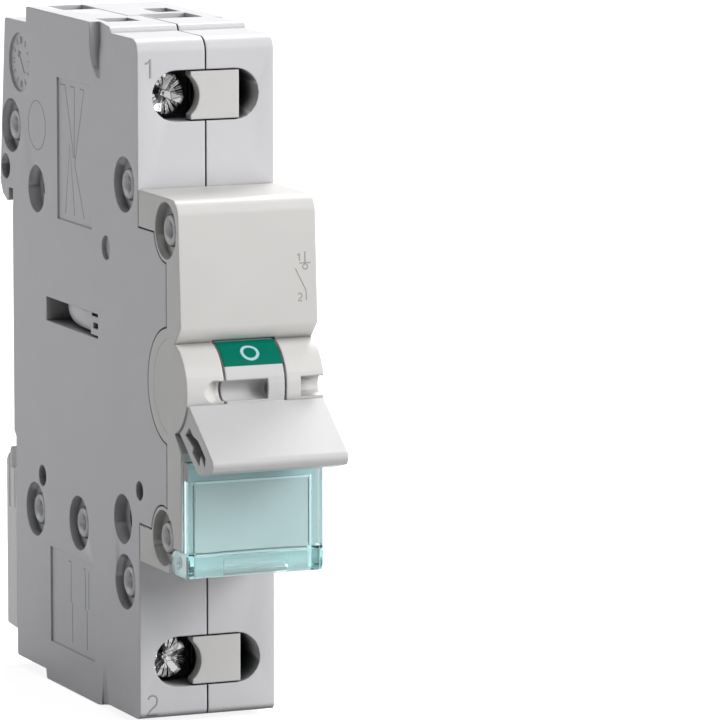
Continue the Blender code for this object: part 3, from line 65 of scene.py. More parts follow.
def moulded_skin(name, alone):
    """Skin of a moulding: faint clouding, fine grain, soft corners, and painted shade in deep
    hollows.

    With alone set, only hollows in the moulding itself count, and not what stands before it.
    """
    skin = bpy.data.node_groups.new(name, "ShaderNodeTree")
    ask = skin.interface.new_socket
    ask("Colour", in_out="INPUT", socket_type="NodeSocketColor")
    for socket, value in (("Grain", 0.35), ("Roughness", 0.42), ("Corner", SHELL_EDGE),
                          ("Hollow", HOLLOW_SHADE), ("Below", HOLLOW_BELOW)):
        ask(socket, in_out="INPUT", socket_type="NodeSocketFloat").default_value = value
    ask("Colour", in_out="OUTPUT", socket_type="NodeSocketColor")
    ask("Roughness", in_out="OUTPUT", socket_type="NodeSocketFloat")
    ask("Normal", in_out="OUTPUT", socket_type="NodeSocketVector")
    add, wire = skin.nodes.new, skin.links.new
    come, give = add("NodeGroupInput"), add("NodeGroupOutput")
    place = add("ShaderNodeTexCoord")

    cloud = add("ShaderNodeTexNoise")
    cloud.inputs["Scale"].default_value = 120
    cloud.inputs["Detail"].default_value = 3
    wire(place.outputs["Object"], cloud.inputs["Vector"])
    dim = add("ShaderNodeMapRange")
    dim.inputs["From Min"].default_value = 0.3
    dim.inputs["From Max"].default_value = 0.7
    dim.inputs["To Min"].default_value = 0.972
    wire(cloud.outputs["Fac"], dim.inputs["Value"])
    tint = add("ShaderNodeVectorMath")
    tint.operation = "SCALE"
    wire(come.outputs["Colour"], tint.inputs[0])
    wire(dim.outputs["Result"], tint.inputs["Scale"])
    # Ambient occlusion darkens the colour where the surface is shut in: painted shade in creases,
    # recesses and wells.
    room = add("ShaderNodeAmbientOcclusion")
    room.samples = 6
    room.only_local = alone
    room.inputs["Distance"].default_value = HOLLOW_REACH
    open_share = add("ShaderNodeMapRange")
    open_share.inputs["From Min"].default_value = 0.10
    wire(come.outputs["Below"], open_share.inputs["From Max"])
    wire(come.outputs["Hollow"], open_share.inputs["To Min"])
    wire(room.outputs["AO"], open_share.inputs["Value"])
    hollow_painted_shade = add("ShaderNodeVectorMath")
    hollow_painted_shade.operation = "SCALE"
    wire(tint.outputs["Vector"], hollow_painted_shade.inputs[0])
    wire(open_share.outputs["Result"], hollow_painted_shade.inputs["Scale"])
    wire(hollow_painted_shade.outputs["Vector"], give.inputs["Colour"])

    gloss = add("ShaderNodeTexNoise")
    gloss.inputs["Scale"].default_value = 420
    wire(place.outputs["Object"], gloss.inputs["Vector"])
    vary = add("ShaderNodeMath")
    vary.operation = "MULTIPLY_ADD"
    vary.inputs[1].default_value = GLOSS_DRIFT
    wire(gloss.outputs["Fac"], vary.inputs[0])
    wire(come.outputs["Roughness"], vary.inputs[2])
    wire(vary.outputs["Value"], give.inputs["Roughness"])

    grain = add("ShaderNodeTexNoise")
    grain.inputs["Scale"].default_value = 5200
    grain.inputs["Detail"].default_value = 2
    wire(place.outputs["Object"], grain.inputs["Vector"])
    corner = add("ShaderNodeBevel")
    corner.samples = 4
    wire(come.outputs["Corner"], corner.inputs["Radius"])
    bump = add("ShaderNodeBump")
    bump.inputs["Distance"].default_value = 0.02 * MM
    wire(come.outputs["Grain"], bump.inputs["Strength"])
    wire(grain.outputs["Fac"], bump.inputs["Height"])
    wire(corner.outputs["Normal"], bump.inputs["Normal"])
    wire(bump.outputs["Normal"], give.inputs["Normal"])
    return skin


skin_group = moulded_skin("Moulded skin", False)


def moulding(name, colour, roughness=0.42, grain=0.35, corner=SHELL_EDGE, hollow=HOLLOW_SHADE,
             below=HOLLOW_BELOW, group=skin_group):
    """A plastic material whose colour, with painted shade in hollows, roughness and normal come
    from the moulded skin.
    """
    plastic = bpy.data.materials.new(name)
    plastic.use_nodes = True
    tree = plastic.node_tree
    shader = tree.nodes["Principled BSDF"]
    shader.inputs["Specular IOR Level"].default_value = 0.32
    skin = tree.nodes.new("ShaderNodeGroup")
    skin.node_tree = group
    for socket, value in (("Colour", (*colour, 1)), ("Grain", grain),
                          ("Roughness", roughness - GLOSS_DRIFT / 2), ("Corner", corner),
                          ("Hollow", hollow), ("Below", below)):
        skin.inputs[socket].default_value = value
    for given, taken in (("Colour", "Base Color"), ("Roughness", "Roughness"),
                         ("Normal", "Normal")):
        tree.links.new(skin.outputs[given], shader.inputs[taken])
    return plastic


def meshed(bm, name):
    """The finished bmesh as a mesh of that name."""
    mesh = bpy.data.meshes.new(name)
    bm.to_mesh(mesh)
    bm.free()
    return mesh


def put(name, mesh, material, angle=None):
    """The mesh as a piece of one material, with walls smooth up to an angle where it has one."""
    if angle is not None:
        mesh.shade_smooth()
        mesh.set_sharp_from_angle(angle=math.radians(angle))
    mesh.materials.clear()
    mesh.materials.append(material)
    piece = bpy.data.objects.new(name, mesh)
    bpy.context.scene.collection.objects.link(piece)
    return piece


def worked(mesh, operation, tool):
    """The mesh joined with a tool's shape, or cut by it."""
    holders = []
    for shape in (mesh, tool):
        holder = bpy.data.objects.new("work", shape)
        bpy.context.scene.collection.objects.link(holder)
        holders.append(holder)
    step = holders[0].modifiers.new("step", "BOOLEAN")
    step.operation = operation
    step.solver = "EXACT"
    step.object = holders[1]
    bpy.context.view_layer.update()
    depsgraph = bpy.context.evaluated_depsgraph_get()
    done = bpy.data.meshes.new_from_object(holders[0].evaluated_get(depsgraph))
    for holder in holders:
        bpy.data.objects.remove(holder)
    return done


def merged_copy(node, name, body, material, angle=28, work=()):
    """The node's own shape with its loose triangles joined, so that curved walls shade smoothly."""
    bm = bmesh.new()
    bm.from_mesh(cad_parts[node].data)
    bmesh.ops.remove_doubles(bm, verts=bm.verts, dist=1e-6)
    bmesh.ops.dissolve_limit(bm, angle_limit=math.radians(0.2), verts=bm.verts, edges=bm.edges)
    mesh = meshed(bm, name)
    for operation, tool in work:
        mesh = worked(mesh, operation, tool)
    piece = put(name, mesh, material, angle)
    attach(piece, body)
    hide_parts(node)
    even = piece.modifiers.new("Even flats", "WEIGHTED_NORMAL")
    even.keep_sharp = True
    return piece


def foot_groove():
    """A cutter for the faint groove that deepens down the foot's left side to its lower edge."""
    bm = bmesh.new()
    bmesh.ops.create_cone(bm, cap_ends=True, segments=48, radius1=GROOVE_RADIUS,
                          radius2=GROOVE_RADIUS, depth=GROOVE_TALL)
    bmesh.ops.rotate(bm, verts=bm.verts, cent=(0, 0, 0),
                     matrix=Matrix.Rotation(math.radians(GROOVE_TILT), 3, "Y"))
    bmesh.ops.translate(bm, verts=bm.verts, vec=GROOVE_PLACE)
    return meshed(bm, "foot_groove")


shell_plastic = moulding("shell plastic", SHELL_GREY)
merged_copy("housing_left", "shell_left", "housing", shell_plastic,
            work=[("DIFFERENCE", foot_groove())])
merged_copy("housing_right", "shell_right", "housing", shell_plastic)

# Each terminal is numbered on the shoulder in a thin grey pad print, 1 above and 2 below.
# The ink lies on the surface, so each figure is a flat letter shape a few hundredths thick.
INK_GREY = (0.300, 0.300, 0.302)
INK_THICK = 0.012 * MM
SHOULDER_Y = -43.8 * MM
FIGURE_PEN = 0.30 * MM
FIGURES = (
    ("upper", "1", -7.80 * MM, 35.75 * MM, 2.30 * MM),
    ("lower", "2", -7.85 * MM, -41.6 * MM, 2.40 * MM),
)


def ink(name, colour):
    """Matt printing ink, a little uneven where it thins."""
    paint = bpy.data.materials.new(name)
    paint.use_nodes = True
    tree = paint.node_tree
    shader = tree.nodes["Principled BSDF"]
    shader.inputs["Roughness"].default_value = 0.6
    place = tree.nodes.new("ShaderNodeTexCoord")
    speck = tree.nodes.new("ShaderNodeTexNoise")
    speck.inputs["Scale"].default_value = 2500
    tree.links.new(place.outputs["Object"], speck.inputs["Vector"])
    blend = tree.nodes.new("ShaderNodeMix")
    blend.data_type = "RGBA"
    blend.inputs["A"].default_value = (*colour, 1)
    blend.inputs["B"].default_value = (*(c * 1.25 for c in colour), 1)
    tree.links.new(speck.outputs["Fac"], blend.inputs["Factor"])
    tree.links.new(blend.outputs["Result"], shader.inputs["Base Color"])
    return paint


def pen_strokes(name, lines, wide, deep, lay, material):
    """Round-ended strokes along lines of (x, z) points, pressed flat and laid on the part."""
    pen = bpy.data.curves.new(name, "CURVE")
    pen.dimensions = "3D"
    pen.bevel_depth = wide / 2
    pen.bevel_resolution = 1
    pen.use_fill_caps = True
    for points in lines:
        spline = pen.splines.new("POLY")
        spline.points.add(len(points) - 1)
        for point, (x, z) in zip(spline.points, points):
            point.co = (x, 0, z, 1)
    drawn = bpy.data.objects.new(name + "_pen", pen)
    bpy.context.scene.collection.objects.link(drawn)
    bpy.context.view_layer.update()
    depsgraph = bpy.context.evaluated_depsgraph_get()
    mesh = bpy.data.meshes.new_from_object(drawn.evaluated_get(depsgraph))
    bpy.data.objects.remove(drawn)
    mesh.transform(lay @ Matrix.Diagonal((1, deep / wide, 1, 1)))
    piece = put(name, mesh, material)
    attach(piece, "housing")


def figure_lines(text, left, foot, tall):
    """The strokes of a plain figure 1 or 2 that stands on z = foot, its left edge at x = left."""
    if text == "1":
        lines = [[(0.31, 0.0), (0.31, 1.0)],
                 [(0.31, 0.97), (0.22, 0.85), (0.10, 0.79), (0.0, 0.78)]]
    else:
        bow = [(0.30 + 0.25 * math.sin(a), 0.73 + 0.27 * math.cos(a))
               for a in (math.radians(d) for d in range(-75, 106, 20))]
        lines = [bow + [(0.50, 0.52), (0.36, 0.38), (0.16, 0.21), (0.04, 0.03), (0.57, 0.03)]]
    return [[(left + x * tall, foot + z * tall) for x, z in line] for line in lines]


grey_ink = ink("grey pad print", INK_GREY)
for level, text, left, foot, tall in FIGURES:
    pen_strokes(f"number_{level}", figure_lines(text, left, foot, tall), FIGURE_PEN,
                2 * INK_THICK, Matrix.Translation((0, SHOULDER_Y, 0)), grey_ink)

# A date clock is moulded into a round recess high on the left side: an arrow in the middle and
# the figures of its ring, all standing up a few hundredths from the floor of the recess.
CLOCK_Y = -2.8 * MM
CLOCK_Z = 34.0 * MM
CLOCK_FLOOR = -8.45 * MM
ARROW_HALF = 1.7 * MM
ARROW_BARB = (0.5 * MM, 1.0 * MM)
ARROW_TURN = -38
ARROW_PEN = (0.22 * MM, 0.16 * MM)
MARK_RING = 2.75 * MM
MARK_HALF = 0.42 * MM
MARK_APART = 0.22 * MM
MARK_PEN = (0.17 * MM, 0.14 * MM)


def onto_left(x, y=0.0, z=0.0, to_front=False):
    """Lays strokes on the left side at x, with their first axis to the back, or to the front."""
    way = -1 if to_front else 1
    return Matrix(((0, 1, 0, x), (way, 0, 0, y), (0, 0, 1, z), (0, 0, 0, 1)))


onto_clock = onto_left(CLOCK_FLOOR, CLOCK_Y, CLOCK_Z, to_front=True)
tip = (0, ARROW_HALF)
arrow = [[(0, -ARROW_HALF), tip], [(-ARROW_BARB[0], ARROW_BARB[1]), tip, ARROW_BARB]]
pen_strokes("clock_arrow", arrow, *ARROW_PEN,
            onto_clock @ Matrix.Rotation(math.radians(ARROW_TURN), 4, "Y"), shell_plastic)
marks = []
for i in range(12):
    way = 2 * math.pi * i / 12
    out, side = Vector((math.sin(way), math.cos(way))), Vector((math.cos(way), -math.sin(way)))
    for shift in ((-MARK_APART, MARK_APART) if i % 3 == 0 else (0.0,)):
        middle = out * MARK_RING + side * shift
        marks.append([tuple(middle - out * MARK_HALF), tuple(middle + out * MARK_HALF)])
pen_strokes("clock_marks", marks, *MARK_PEN, onto_clock, shell_plastic)

# Two sunk panels on the left side carry thin moulded lines: crossing rays in the upper one, and in
# the lower one the outlines of two stripped wires. A plain ring beside them is left by the mould.
PANEL_FLOOR = -8.55 * MM
PANEL_PEN = (0.23 * MM, 0.04 * MM)
SIDE_FACE = PANEL_FLOOR - 0.2 * MM
RING_Y = -9.0 * MM
RING_Z = 26.7 * MM
RING_RADIUS = 3.05 * MM
RING_PEN = (0.16 * MM, 0.05 * MM)
RAY_LINES = [
    [(-16.95, 32.6), (-18.61, 32.6), (-21.15, 25.1), (-21.36, 23.9)],
    [(-20.46, 32.6), (-21.8, 32.6), (-21.7, 23.9)],
    [(-23.76, 32.6), (-25.15, 32.6), (-21.8, 23.2), (-25.0, 16.8)],
    [(-18.51, 16.8), (-20.1, 25.4), (-21.73, 16.8)],
]
WIRE_LINES = [
    [(-18.8, -26.65), (-19.66, -26.65), (-19.62, -31.8)], [(-20.08, -31.8), (-20.04, -36.75)],
    [(-24.1, -26.75), (-24.6, -26.75), (-24.66, -31.85)], [(-25.18, -31.88), (-25.2, -36.8)],
    [(-25.82, -26.95), (-25.8, -31.65)],
]

# The lines and the ring are the shells' grey at half its tone: painted shade along them.
mark_plastic = moulding("shaded mark", tuple(c * 0.52 for c in SHELL_GREY), corner=0.02 * MM)
for name, lines in (("ray_lines", RAY_LINES), ("wire_lines", WIRE_LINES)):
    pen_strokes(name, [[(y * MM, z * MM) for y, z in line] for line in lines], *PANEL_PEN,
                onto_left(PANEL_FLOOR), mark_plastic)
ring = [(RING_Y + RING_RADIUS * math.sin(a), RING_Z + RING_RADIUS * math.cos(a))
        for a in (math.pi * i / 32 for i in range(65))]
pen_strokes("mould_ring", [ring], *RING_PEN, onto_left(SIDE_FACE), mark_plastic)

# A small frame stands at the front end of the slot in the left side, flush with the face. It is
# part of the shell, and the carrier's lug passes behind it.
FRAME_X = -8.72 * MM
FRAME_Y = (-30.25, -28.4, -27.6)
FRAME_Z = (2.98, 3.78, 4.5, 5.26)
FRAME_THICK = 0.7 * MM


def backed(bm, faces, thick):
    """Gives a sheet on the left side its thickness, towards the middle of the part."""
    grown = bmesh.ops.extrude_face_region(bm, geom=faces)
    bmesh.ops.translate(bm, verts=[v for v in grown["geom"] if isinstance(v, bmesh.types.BMVert)],
                        vec=(thick, 0, 0))
    bmesh.ops.recalc_face_normals(bm, faces=bm.faces)


bm = bmesh.new()
corners = [(FRAME_Y[0], FRAME_Z[0]), (FRAME_Y[2], FRAME_Z[0]), (FRAME_Y[2], FRAME_Z[3]),
           (FRAME_Y[0], FRAME_Z[3]), (FRAME_Y[0], FRAME_Z[2]), (FRAME_Y[1], FRAME_Z[2]),
           (FRAME_Y[1], FRAME_Z[1]), (FRAME_Y[0], FRAME_Z[1])]
front = bm.faces.new([bm.verts.new((FRAME_X, y * MM, z * MM)) for y, z in corners])
backed(bm, [front], FRAME_THICK)
slot_frame = put("slot_frame", meshed(bm, "slot_frame"), shell_plastic)
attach(slot_frame, "housing")

# A thin tongue runs back from the frame along the top of the slot. It bends inwards at its back end
# and along its lower edge, and leaves a dark gap under it.
TONGUE_X = -8.60
TONGUE_Y = (-27.65, -16.0)
TONGUE_Z = (3.12, 5.60)
TONGUE_THICK = 0.3 * MM
BACK_BEND = (-25.5, 9.0, 1.15)  # where it starts, over what length, and how far it goes in
LOW_BEND = (4.95, 1.8, 0.55)

bm = bmesh.new()
bmesh.ops.create_grid(bm, x_segments=18, y_segments=10, size=0.5)
for vert in bm.verts:
    y = TONGUE_Y[0] + (TONGUE_Y[1] - TONGUE_Y[0]) * (vert.co.x + 0.5)
    z = TONGUE_Z[0] + (TONGUE_Z[1] - TONGUE_Z[0]) * (vert.co.y + 0.5)
    back = max(0.0, (y - BACK_BEND[0]) / BACK_BEND[1])
    low = max(0.0, (LOW_BEND[0] - z) / LOW_BEND[1])
    vert.co = Vector((TONGUE_X + BACK_BEND[2] * back ** 2 + LOW_BEND[2] * low ** 2, y, z)) * MM
backed(bm, bm.faces[:], TONGUE_THICK)
slot_tongue = put("slot_tongue", meshed(bm, "slot_tongue"), shell_plastic, 50)
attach(slot_tongue, "housing")

# Seven tubular rivets of dull plated steel hold the shells together. Each end is rolled over to
# a ring with a dimple in the middle, and sits at the bottom of a deep round recess.
RIVET_SEAT = 7.75 * MM
RIVET_TALL = 0.6 * MM
RIVET_SHANK = 1.1 * MM
RIVET_ROLL = (  # radius, and depth below the rim
    (0.0, 1.60), (0.34, 1.45), (0.62, 0.95), (0.84, 0.42), (1.00, 0.22), (1.24, 0.08),
    (1.48, 0.01), (1.66, 0.02), (1.80, 0.12), (1.92, 0.30), (2.0, 0.46),
)
RIVET_RING = RIVET_ROLL[-1][0] * MM


def plated(name, colour, roughness, dent, dent_size):
    """Plated metal with uneven gloss and small dents."""
    metal = bpy.data.materials.new(name)
    metal.use_nodes = True
    tree = metal.node_tree
    add, wire = tree.nodes.new, tree.links.new
    shader = tree.nodes["Principled BSDF"]
    shader.inputs["Metallic"].default_value = 1.0
    place = add("ShaderNodeTexCoord")
    patch = add("ShaderNodeTexNoise")
    patch.inputs["Scale"].default_value = 900
    patch.inputs["Detail"].default_value = 4
    wire(place.outputs["Object"], patch.inputs["Vector"])
    ramp = add("ShaderNodeValToRGB")
    ramp.color_ramp.elements[0].position = 0.35
    ramp.color_ramp.elements[0].color = (*(c * 0.72 for c in colour), 1)
    ramp.color_ramp.elements[1].position = 0.65
    ramp.color_ramp.elements[1].color = (*colour, 1)
    wire(patch.outputs["Fac"], ramp.inputs["Fac"])
    wire(ramp.outputs["Color"], shader.inputs["Base Color"])
    rough = add("ShaderNodeMapRange")
    rough.inputs["To Min"].default_value = roughness * 0.7
    rough.inputs["To Max"].default_value = roughness * 1.4
    wire(patch.outputs["Fac"], rough.inputs["Value"])
    wire(rough.outputs["Result"], shader.inputs["Roughness"])
    marks = add("ShaderNodeTexNoise")
    marks.inputs["Scale"].default_value = dent_size
    wire(place.outputs["Object"], marks.inputs["Vector"])
    bump = add("ShaderNodeBump")
    bump.inputs["Strength"].default_value = dent
    bump.inputs["Distance"].default_value = 0.1 * MM
    wire(marks.outputs["Fac"], bump.inputs["Height"])
    wire(bump.outputs["Normal"], shader.inputs["Normal"])
    return metal


def turned(points, axis, steps):
    """A line of points spun once round an axis through the origin."""
    bm = bmesh.new()
    path = [bm.verts.new(point) for point in points]
    line = [bm.edges.new(pair) for pair in zip(path, path[1:])]
    bmesh.ops.spin(bm, geom=path + line, cent=(0, 0, 0), axis=axis, angle=2 * math.pi,
                   steps=steps, use_merge=True)
    bmesh.ops.remove_doubles(bm, verts=bm.verts, dist=1e-6)
    return bm


def rolled_rivet(node):
    """One rivet, spun about its own axis: shank, flange and the rolled ring with its dimple."""
    low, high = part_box(node)
    centre = (low + high) / 2
    top = RIVET_SEAT + RIVET_TALL
    half = [(r * MM, top - depth * MM) for r, depth in RIVET_ROLL]
    half += [(RIVET_RING, RIVET_SEAT), (RIVET_SHANK, RIVET_SEAT)]
    bm = turned([(x, 0, r) for r, x in half] + [(-x, 0, r) for r, x in reversed(half)],
                (1, 0, 0), 48)
    bmesh.ops.recalc_face_normals(bm, faces=bm.faces)
    bmesh.ops.translate(bm, verts=bm.verts, vec=(0, centre.y, centre.z))
    piece = put(node + "_rolled", meshed(bm, node + "_rolled"), rivet_metal, 50)
    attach(piece, "housing")
    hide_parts(node)


rivet_metal = plated("dull plated rivet", (0.225, 0.225, 0.230), 0.46, 0.30, 1500)
for node in sorted(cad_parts):
    if node.startswith("rivet_"):
        rolled_rivet(node)

# The nose cover is one moulding over the front of both shells: the face, the cheeks on each side
# of the drum, and ears that reach back along the sides. It is a shade warmer than the shells.
COVER_GREY = (0.655, 0.645, 0.630)
DRUM_Y = -54.0 * MM
DRUM_RADIUS = 5.6 * MM
BRIDGE_WALL = 0.42 * MM
BRIDGE_PROUD = 0.008 * MM
BRIDGE_SPAN = 18
CHEEK_BRIDGE = (3.99 * MM, 5.78 * MM)


def wire_bridge(name, left, right):
    """A thin curved wall, flush with the drum, that makes the sealing wire's hole a tunnel."""
    bm = bmesh.new()
    inner, outer = DRUM_Y - DRUM_RADIUS + BRIDGE_WALL, DRUM_Y - DRUM_RADIUS + BRIDGE_PROUD
    edge = [bm.verts.new((x, y, 0)) for x, y in (
        (left, inner), (right, inner), (right, outer), (left, outer))]
    face = bm.faces.new(edge)
    bmesh.ops.rotate(bm, verts=bm.verts, cent=(0, DRUM_Y, 0),
                     matrix=Matrix.Rotation(math.radians(-BRIDGE_SPAN / 2), 3, "X"))
    bmesh.ops.spin(bm, geom=[face] + list(bm.edges) + edge, cent=(0, DRUM_Y, 0), axis=(1, 0, 0),
                   angle=math.radians(BRIDGE_SPAN), steps=6)
    bmesh.ops.recalc_face_normals(bm, faces=bm.faces)
    return meshed(bm, name)


own_skin_group = moulded_skin("Moulded skin, own hollows", True)
cover_plastic = moulding("cover plastic", COVER_GREY, roughness=0.38, below=0.60,
                         group=own_skin_group)
merged_copy("nose_cover", "cover", "housing", cover_plastic, angle=24,
            work=[("UNION", wire_bridge("cheek_bridge", *CHEEK_BRIDGE))])

# A round disc is let into the left cheek over the axle's end. It lies flush with the cheek, so
# that only its faint edge shows.
DISC_X = PANEL_FLOOR - 0.195 * MM
DISC_Y = -54.6 * MM
DISC_RADIUS = 5.83 * MM
DISC_PEN = (0.12 * MM, 0.04 * MM)
# The edge is a thin line of the cover's grey at three quarters of its tone: painted shade.
disc_edge = moulding("disc edge", tuple(c * 0.74 for c in COVER_GREY), corner=0.02 * MM)
disc_line = [(DISC_Y + DISC_RADIUS * math.cos(a), DISC_RADIUS * math.sin(a))
             for a in (math.radians(d) for d in range(-78, 79, 4))]
pen_strokes("cheek_disc", [disc_line], *DISC_PEN, onto_left(DISC_X), disc_edge)

# A small circuit symbol for a switch disconnector is printed at the right edge of the nose, with
# its two terminal numbers. Its lines are the same thin grey ink as the other figures.
NOSE_TOP = Vector((0, -56.75 * MM, 22.5 * MM))
NOSE_CHIN = Vector((0, -57.6 * MM, 7.4 * MM))
SYMBOL_X = 7.33 * MM
SYMBOL_PEN = 0.17 * MM
SYMBOL_RING_Z = 14.02
SYMBOL_RING = 0.31
symbol_ring = [(SYMBOL_RING * math.sin(a), SYMBOL_RING_Z + SYMBOL_RING * math.cos(a))
               for a in (2 * math.pi * i / 24 for i in range(25))]
symbol = [
    [(0, 15.85), (0, 14.47)],
    [(-0.73, 14.47), (0.71, 14.47)],
    symbol_ring,
    [(-1.26, 13.85), (0.02, 11.25), (0.06, 11.0), (0.06, 10.02)],
]
symbol_lines = [[(SYMBOL_X + x * MM, z * MM) for x, z in line] for line in symbol]
symbol_lines += figure_lines("1", SYMBOL_X - 1.00 * MM, 14.72 * MM, 0.92 * MM)
symbol_lines += figure_lines("2", SYMBOL_X - 1.02 * MM, 9.94 * MM, 0.96 * MM)
slope = (NOSE_TOP.y - NOSE_CHIN.y) / (NOSE_TOP.z - NOSE_CHIN.z)
onto_nose = Matrix(((1, 0, 0, 0), (0, 1, slope, NOSE_TOP.y - slope * NOSE_TOP.z), (0, 0, 1, 0),
                    (0, 0, 0, 1)))
pen_strokes("switch_symbol", symbol_lines, SYMBOL_PEN, 2 * INK_THICK, onto_nose, grey_ink)

# The lever and its drum are one moulding that turns on a steel axle. The drum carries two printed
# fields, green with a ring for off, and red with a bar for on, which shows once the lever is up.
LEVER_GREY = (0.595, 0.593, 0.600)
FIELD_PALE = (0.430, 0.620, 0.680)
FIELD_HALF_WIDTH = 3.73 * MM
OFF_FIELD = {"paint": (0.000, 0.165, 0.110), "from": 30.0, "to": 73.0, "middle": 48.5}
ON_FIELD = {"paint": (0.520, 0.020, 0.018), "from": -112.0, "to": -66.0, "middle": -89.0}
OFF_RING = (0.80 * MM, 1.17 * MM)
ON_BAR = (0.19 * MM, 1.15 * MM)
PRINT_DEEP = 0.12 * MM
PRINT_PROUD = 0.1 * MM
PRINT_DULL = 0.85
DRUM_BRIDGE = (1.62 * MM, 3.70 * MM)


def print_on_drum(plastic):
    """Adds the two fields to the lever's colour, by the angle round the axle and place across."""
    tree = plastic.node_tree
    add, wire = tree.nodes.new, tree.links.new
    shader = tree.nodes["Principled BSDF"]
    skin = next(n for n in tree.nodes if n.type == "GROUP")

    def calc(operation, a, b=None):
        node = add("ShaderNodeMath")
        node.operation = operation
        for socket, value in zip(node.inputs, (a, b)):
            if isinstance(value, (int, float)):
                socket.default_value = value
            elif value is not None:
                wire(value, socket)
        return node.outputs["Value"]

    def between(value, low, high):
        return calc("MULTIPLY", calc("GREATER_THAN", value, low), calc("LESS_THAN", value, high))

    def length(a, b):
        return calc("SQRT", calc("ADD", calc("MULTIPLY", a, a), calc("MULTIPLY", b, b)))

    place = add("ShaderNodeTexCoord")
    parts = add("ShaderNodeSeparateXYZ")
    wire(place.outputs["Object"], parts.inputs["Vector"])
    across = parts.outputs["X"]
    out = calc("SUBTRACT", DRUM_Y, parts.outputs["Y"])
    up = parts.outputs["Z"]
    angle = calc("ARCTAN2", up, out)
    on_skin = between(length(out, up), DRUM_RADIUS - PRINT_DEEP, DRUM_RADIUS + PRINT_PROUD)
    in_width = calc("LESS_THAN", calc("ABSOLUTE", across), FIELD_HALF_WIDTH)
    colour = skin.outputs["Colour"]
    shine = shader.inputs["Specular IOR Level"].default_value
    for field in (OFF_FIELD, ON_FIELD):
        inside = between(angle, math.radians(field["from"]), math.radians(field["to"]))
        painted = calc("MULTIPLY", calc("MULTIPLY", inside, in_width), on_skin)
        from_middle = calc("SUBTRACT", angle, math.radians(field["middle"]))
        along = calc("MULTIPLY", from_middle, DRUM_RADIUS)
        if field is OFF_FIELD:
            sign = between(length(across, along), *OFF_RING)
        else:
            sign = calc("MULTIPLY", calc("LESS_THAN", calc("ABSOLUTE", across), ON_BAR[0]),
                        calc("LESS_THAN", calc("ABSOLUTE", along), ON_BAR[1]))
        for share, tone in ((painted, field["paint"]),
                            (calc("MULTIPLY", sign, painted), FIELD_PALE)):
            blend = add("ShaderNodeMix")
            blend.data_type = "RGBA"
            wire(share, blend.inputs["Factor"])
            wire(colour, blend.inputs["A"])
            blend.inputs["B"].default_value = (*tone, 1)
            colour = blend.outputs["Result"]
        dull = calc("SUBTRACT", 1.0, calc("MULTIPLY", painted, PRINT_DULL))
        shine = calc("MULTIPLY", shine, dull)
    wire(colour, shader.inputs["Base Color"])
    wire(shine, shader.inputs["Specular IOR Level"])


lever_plastic = moulding("lever plastic", LEVER_GREY, roughness=0.38, hollow=0.80,
                         group=own_skin_group)
print_on_drum(lever_plastic)
merged_copy("toggle", "lever", "lever", lever_plastic, angle=24,
            work=[("UNION", wire_bridge("drum_bridge", *DRUM_BRIDGE))])
axle_steel = plated("zinc plated steel", (0.62, 0.61, 0.58), 0.3, 0.1, 1500)
wire_steel = plated("drawn spring wire", (0.34, 0.34, 0.35), 0.32, 0.08, 2600)
merged_copy("toggle_axle", "axle", "housing", axle_steel)
merged_copy("drive_pin", "crank_pin", "lever", axle_steel)
merged_copy("toggle_spring", "return_spring", "lever", wire_steel, angle=80)

# Behind the drum the carrier slides in the shells with the contact bridge and its spring. It is a
# pale thermoset moulding, and its lug shows in the slot in the left side.
carrier_plastic = moulding("carrier thermoset", (0.50, 0.50, 0.50), roughness=0.5, grain=0.5)
merged_copy("contact_carrier", "carrier", "carrier", carrier_plastic)
merged_copy("contact_spring", "bridge_spring", "carrier", wire_steel, angle=80)

# The bridge and the two strips are stamped from copper, with silver alloy tips welded on. They
# pass the current from terminal 1 to terminal 2 when the lever is up.
copper = plated("stamped copper", (0.72, 0.36, 0.22), 0.34, 0.12, 1400)
silver = plated("silver alloy tip", (0.78, 0.77, 0.74), 0.28, 0.12, 2400)
merged_copy("contact_bridge", "bridge", "carrier", copper)
for level in ("upper", "lower"):
    merged_copy(f"moving_contact_{level}", f"moving_tip_{level}", "carrier", silver)
    merged_copy(f"fixed_contact_{level}", f"fixed_tip_{level}", "housing", silver)
    merged_copy(f"fixed_strip_{level}", f"strip_{level}", "housing", copper)

# Each terminal is a captive screw in a plated steel cage. The head takes a flat or a cross driver,
# and its bright plating is dented by the driver, so that it sparkles, with glints also painted into
# its colour.
SCREW_X = -3.84 * MM
SCREW_TURN = {"upper": 22, "lower": -34}
HEAD_RADIUS = 2.65 * MM
HEAD_FACE = HEAD_RADIUS - 0.34 * MM
HEAD_RINGS = 40
HEAD_FRONT = -40.1 * MM
HEAD_BACK = -38.3 * MM
SHANK_RADIUS = 2.4 * MM
TIP_RADIUS = 1.8 * MM
TIP_TALL = 0.6 * MM
SPARKLE_CELLS = 780
RIDGES = 20
RIDGE_DEEP = 0.11 * MM
RIDGE_FULL = 1.6 * MM  # the radius from which the ridges have their whole depth
DISH_DEEP = 0.55 * MM
DISH_SLOPE = 0.42
CROSS_DEEP = 1.15 * MM
CROSS_SLOPE = 0.36
CROSS_HALF = 0.50 * MM
CROSS_TAPER = 0.05
CROSS_WALL = 0.16 * MM


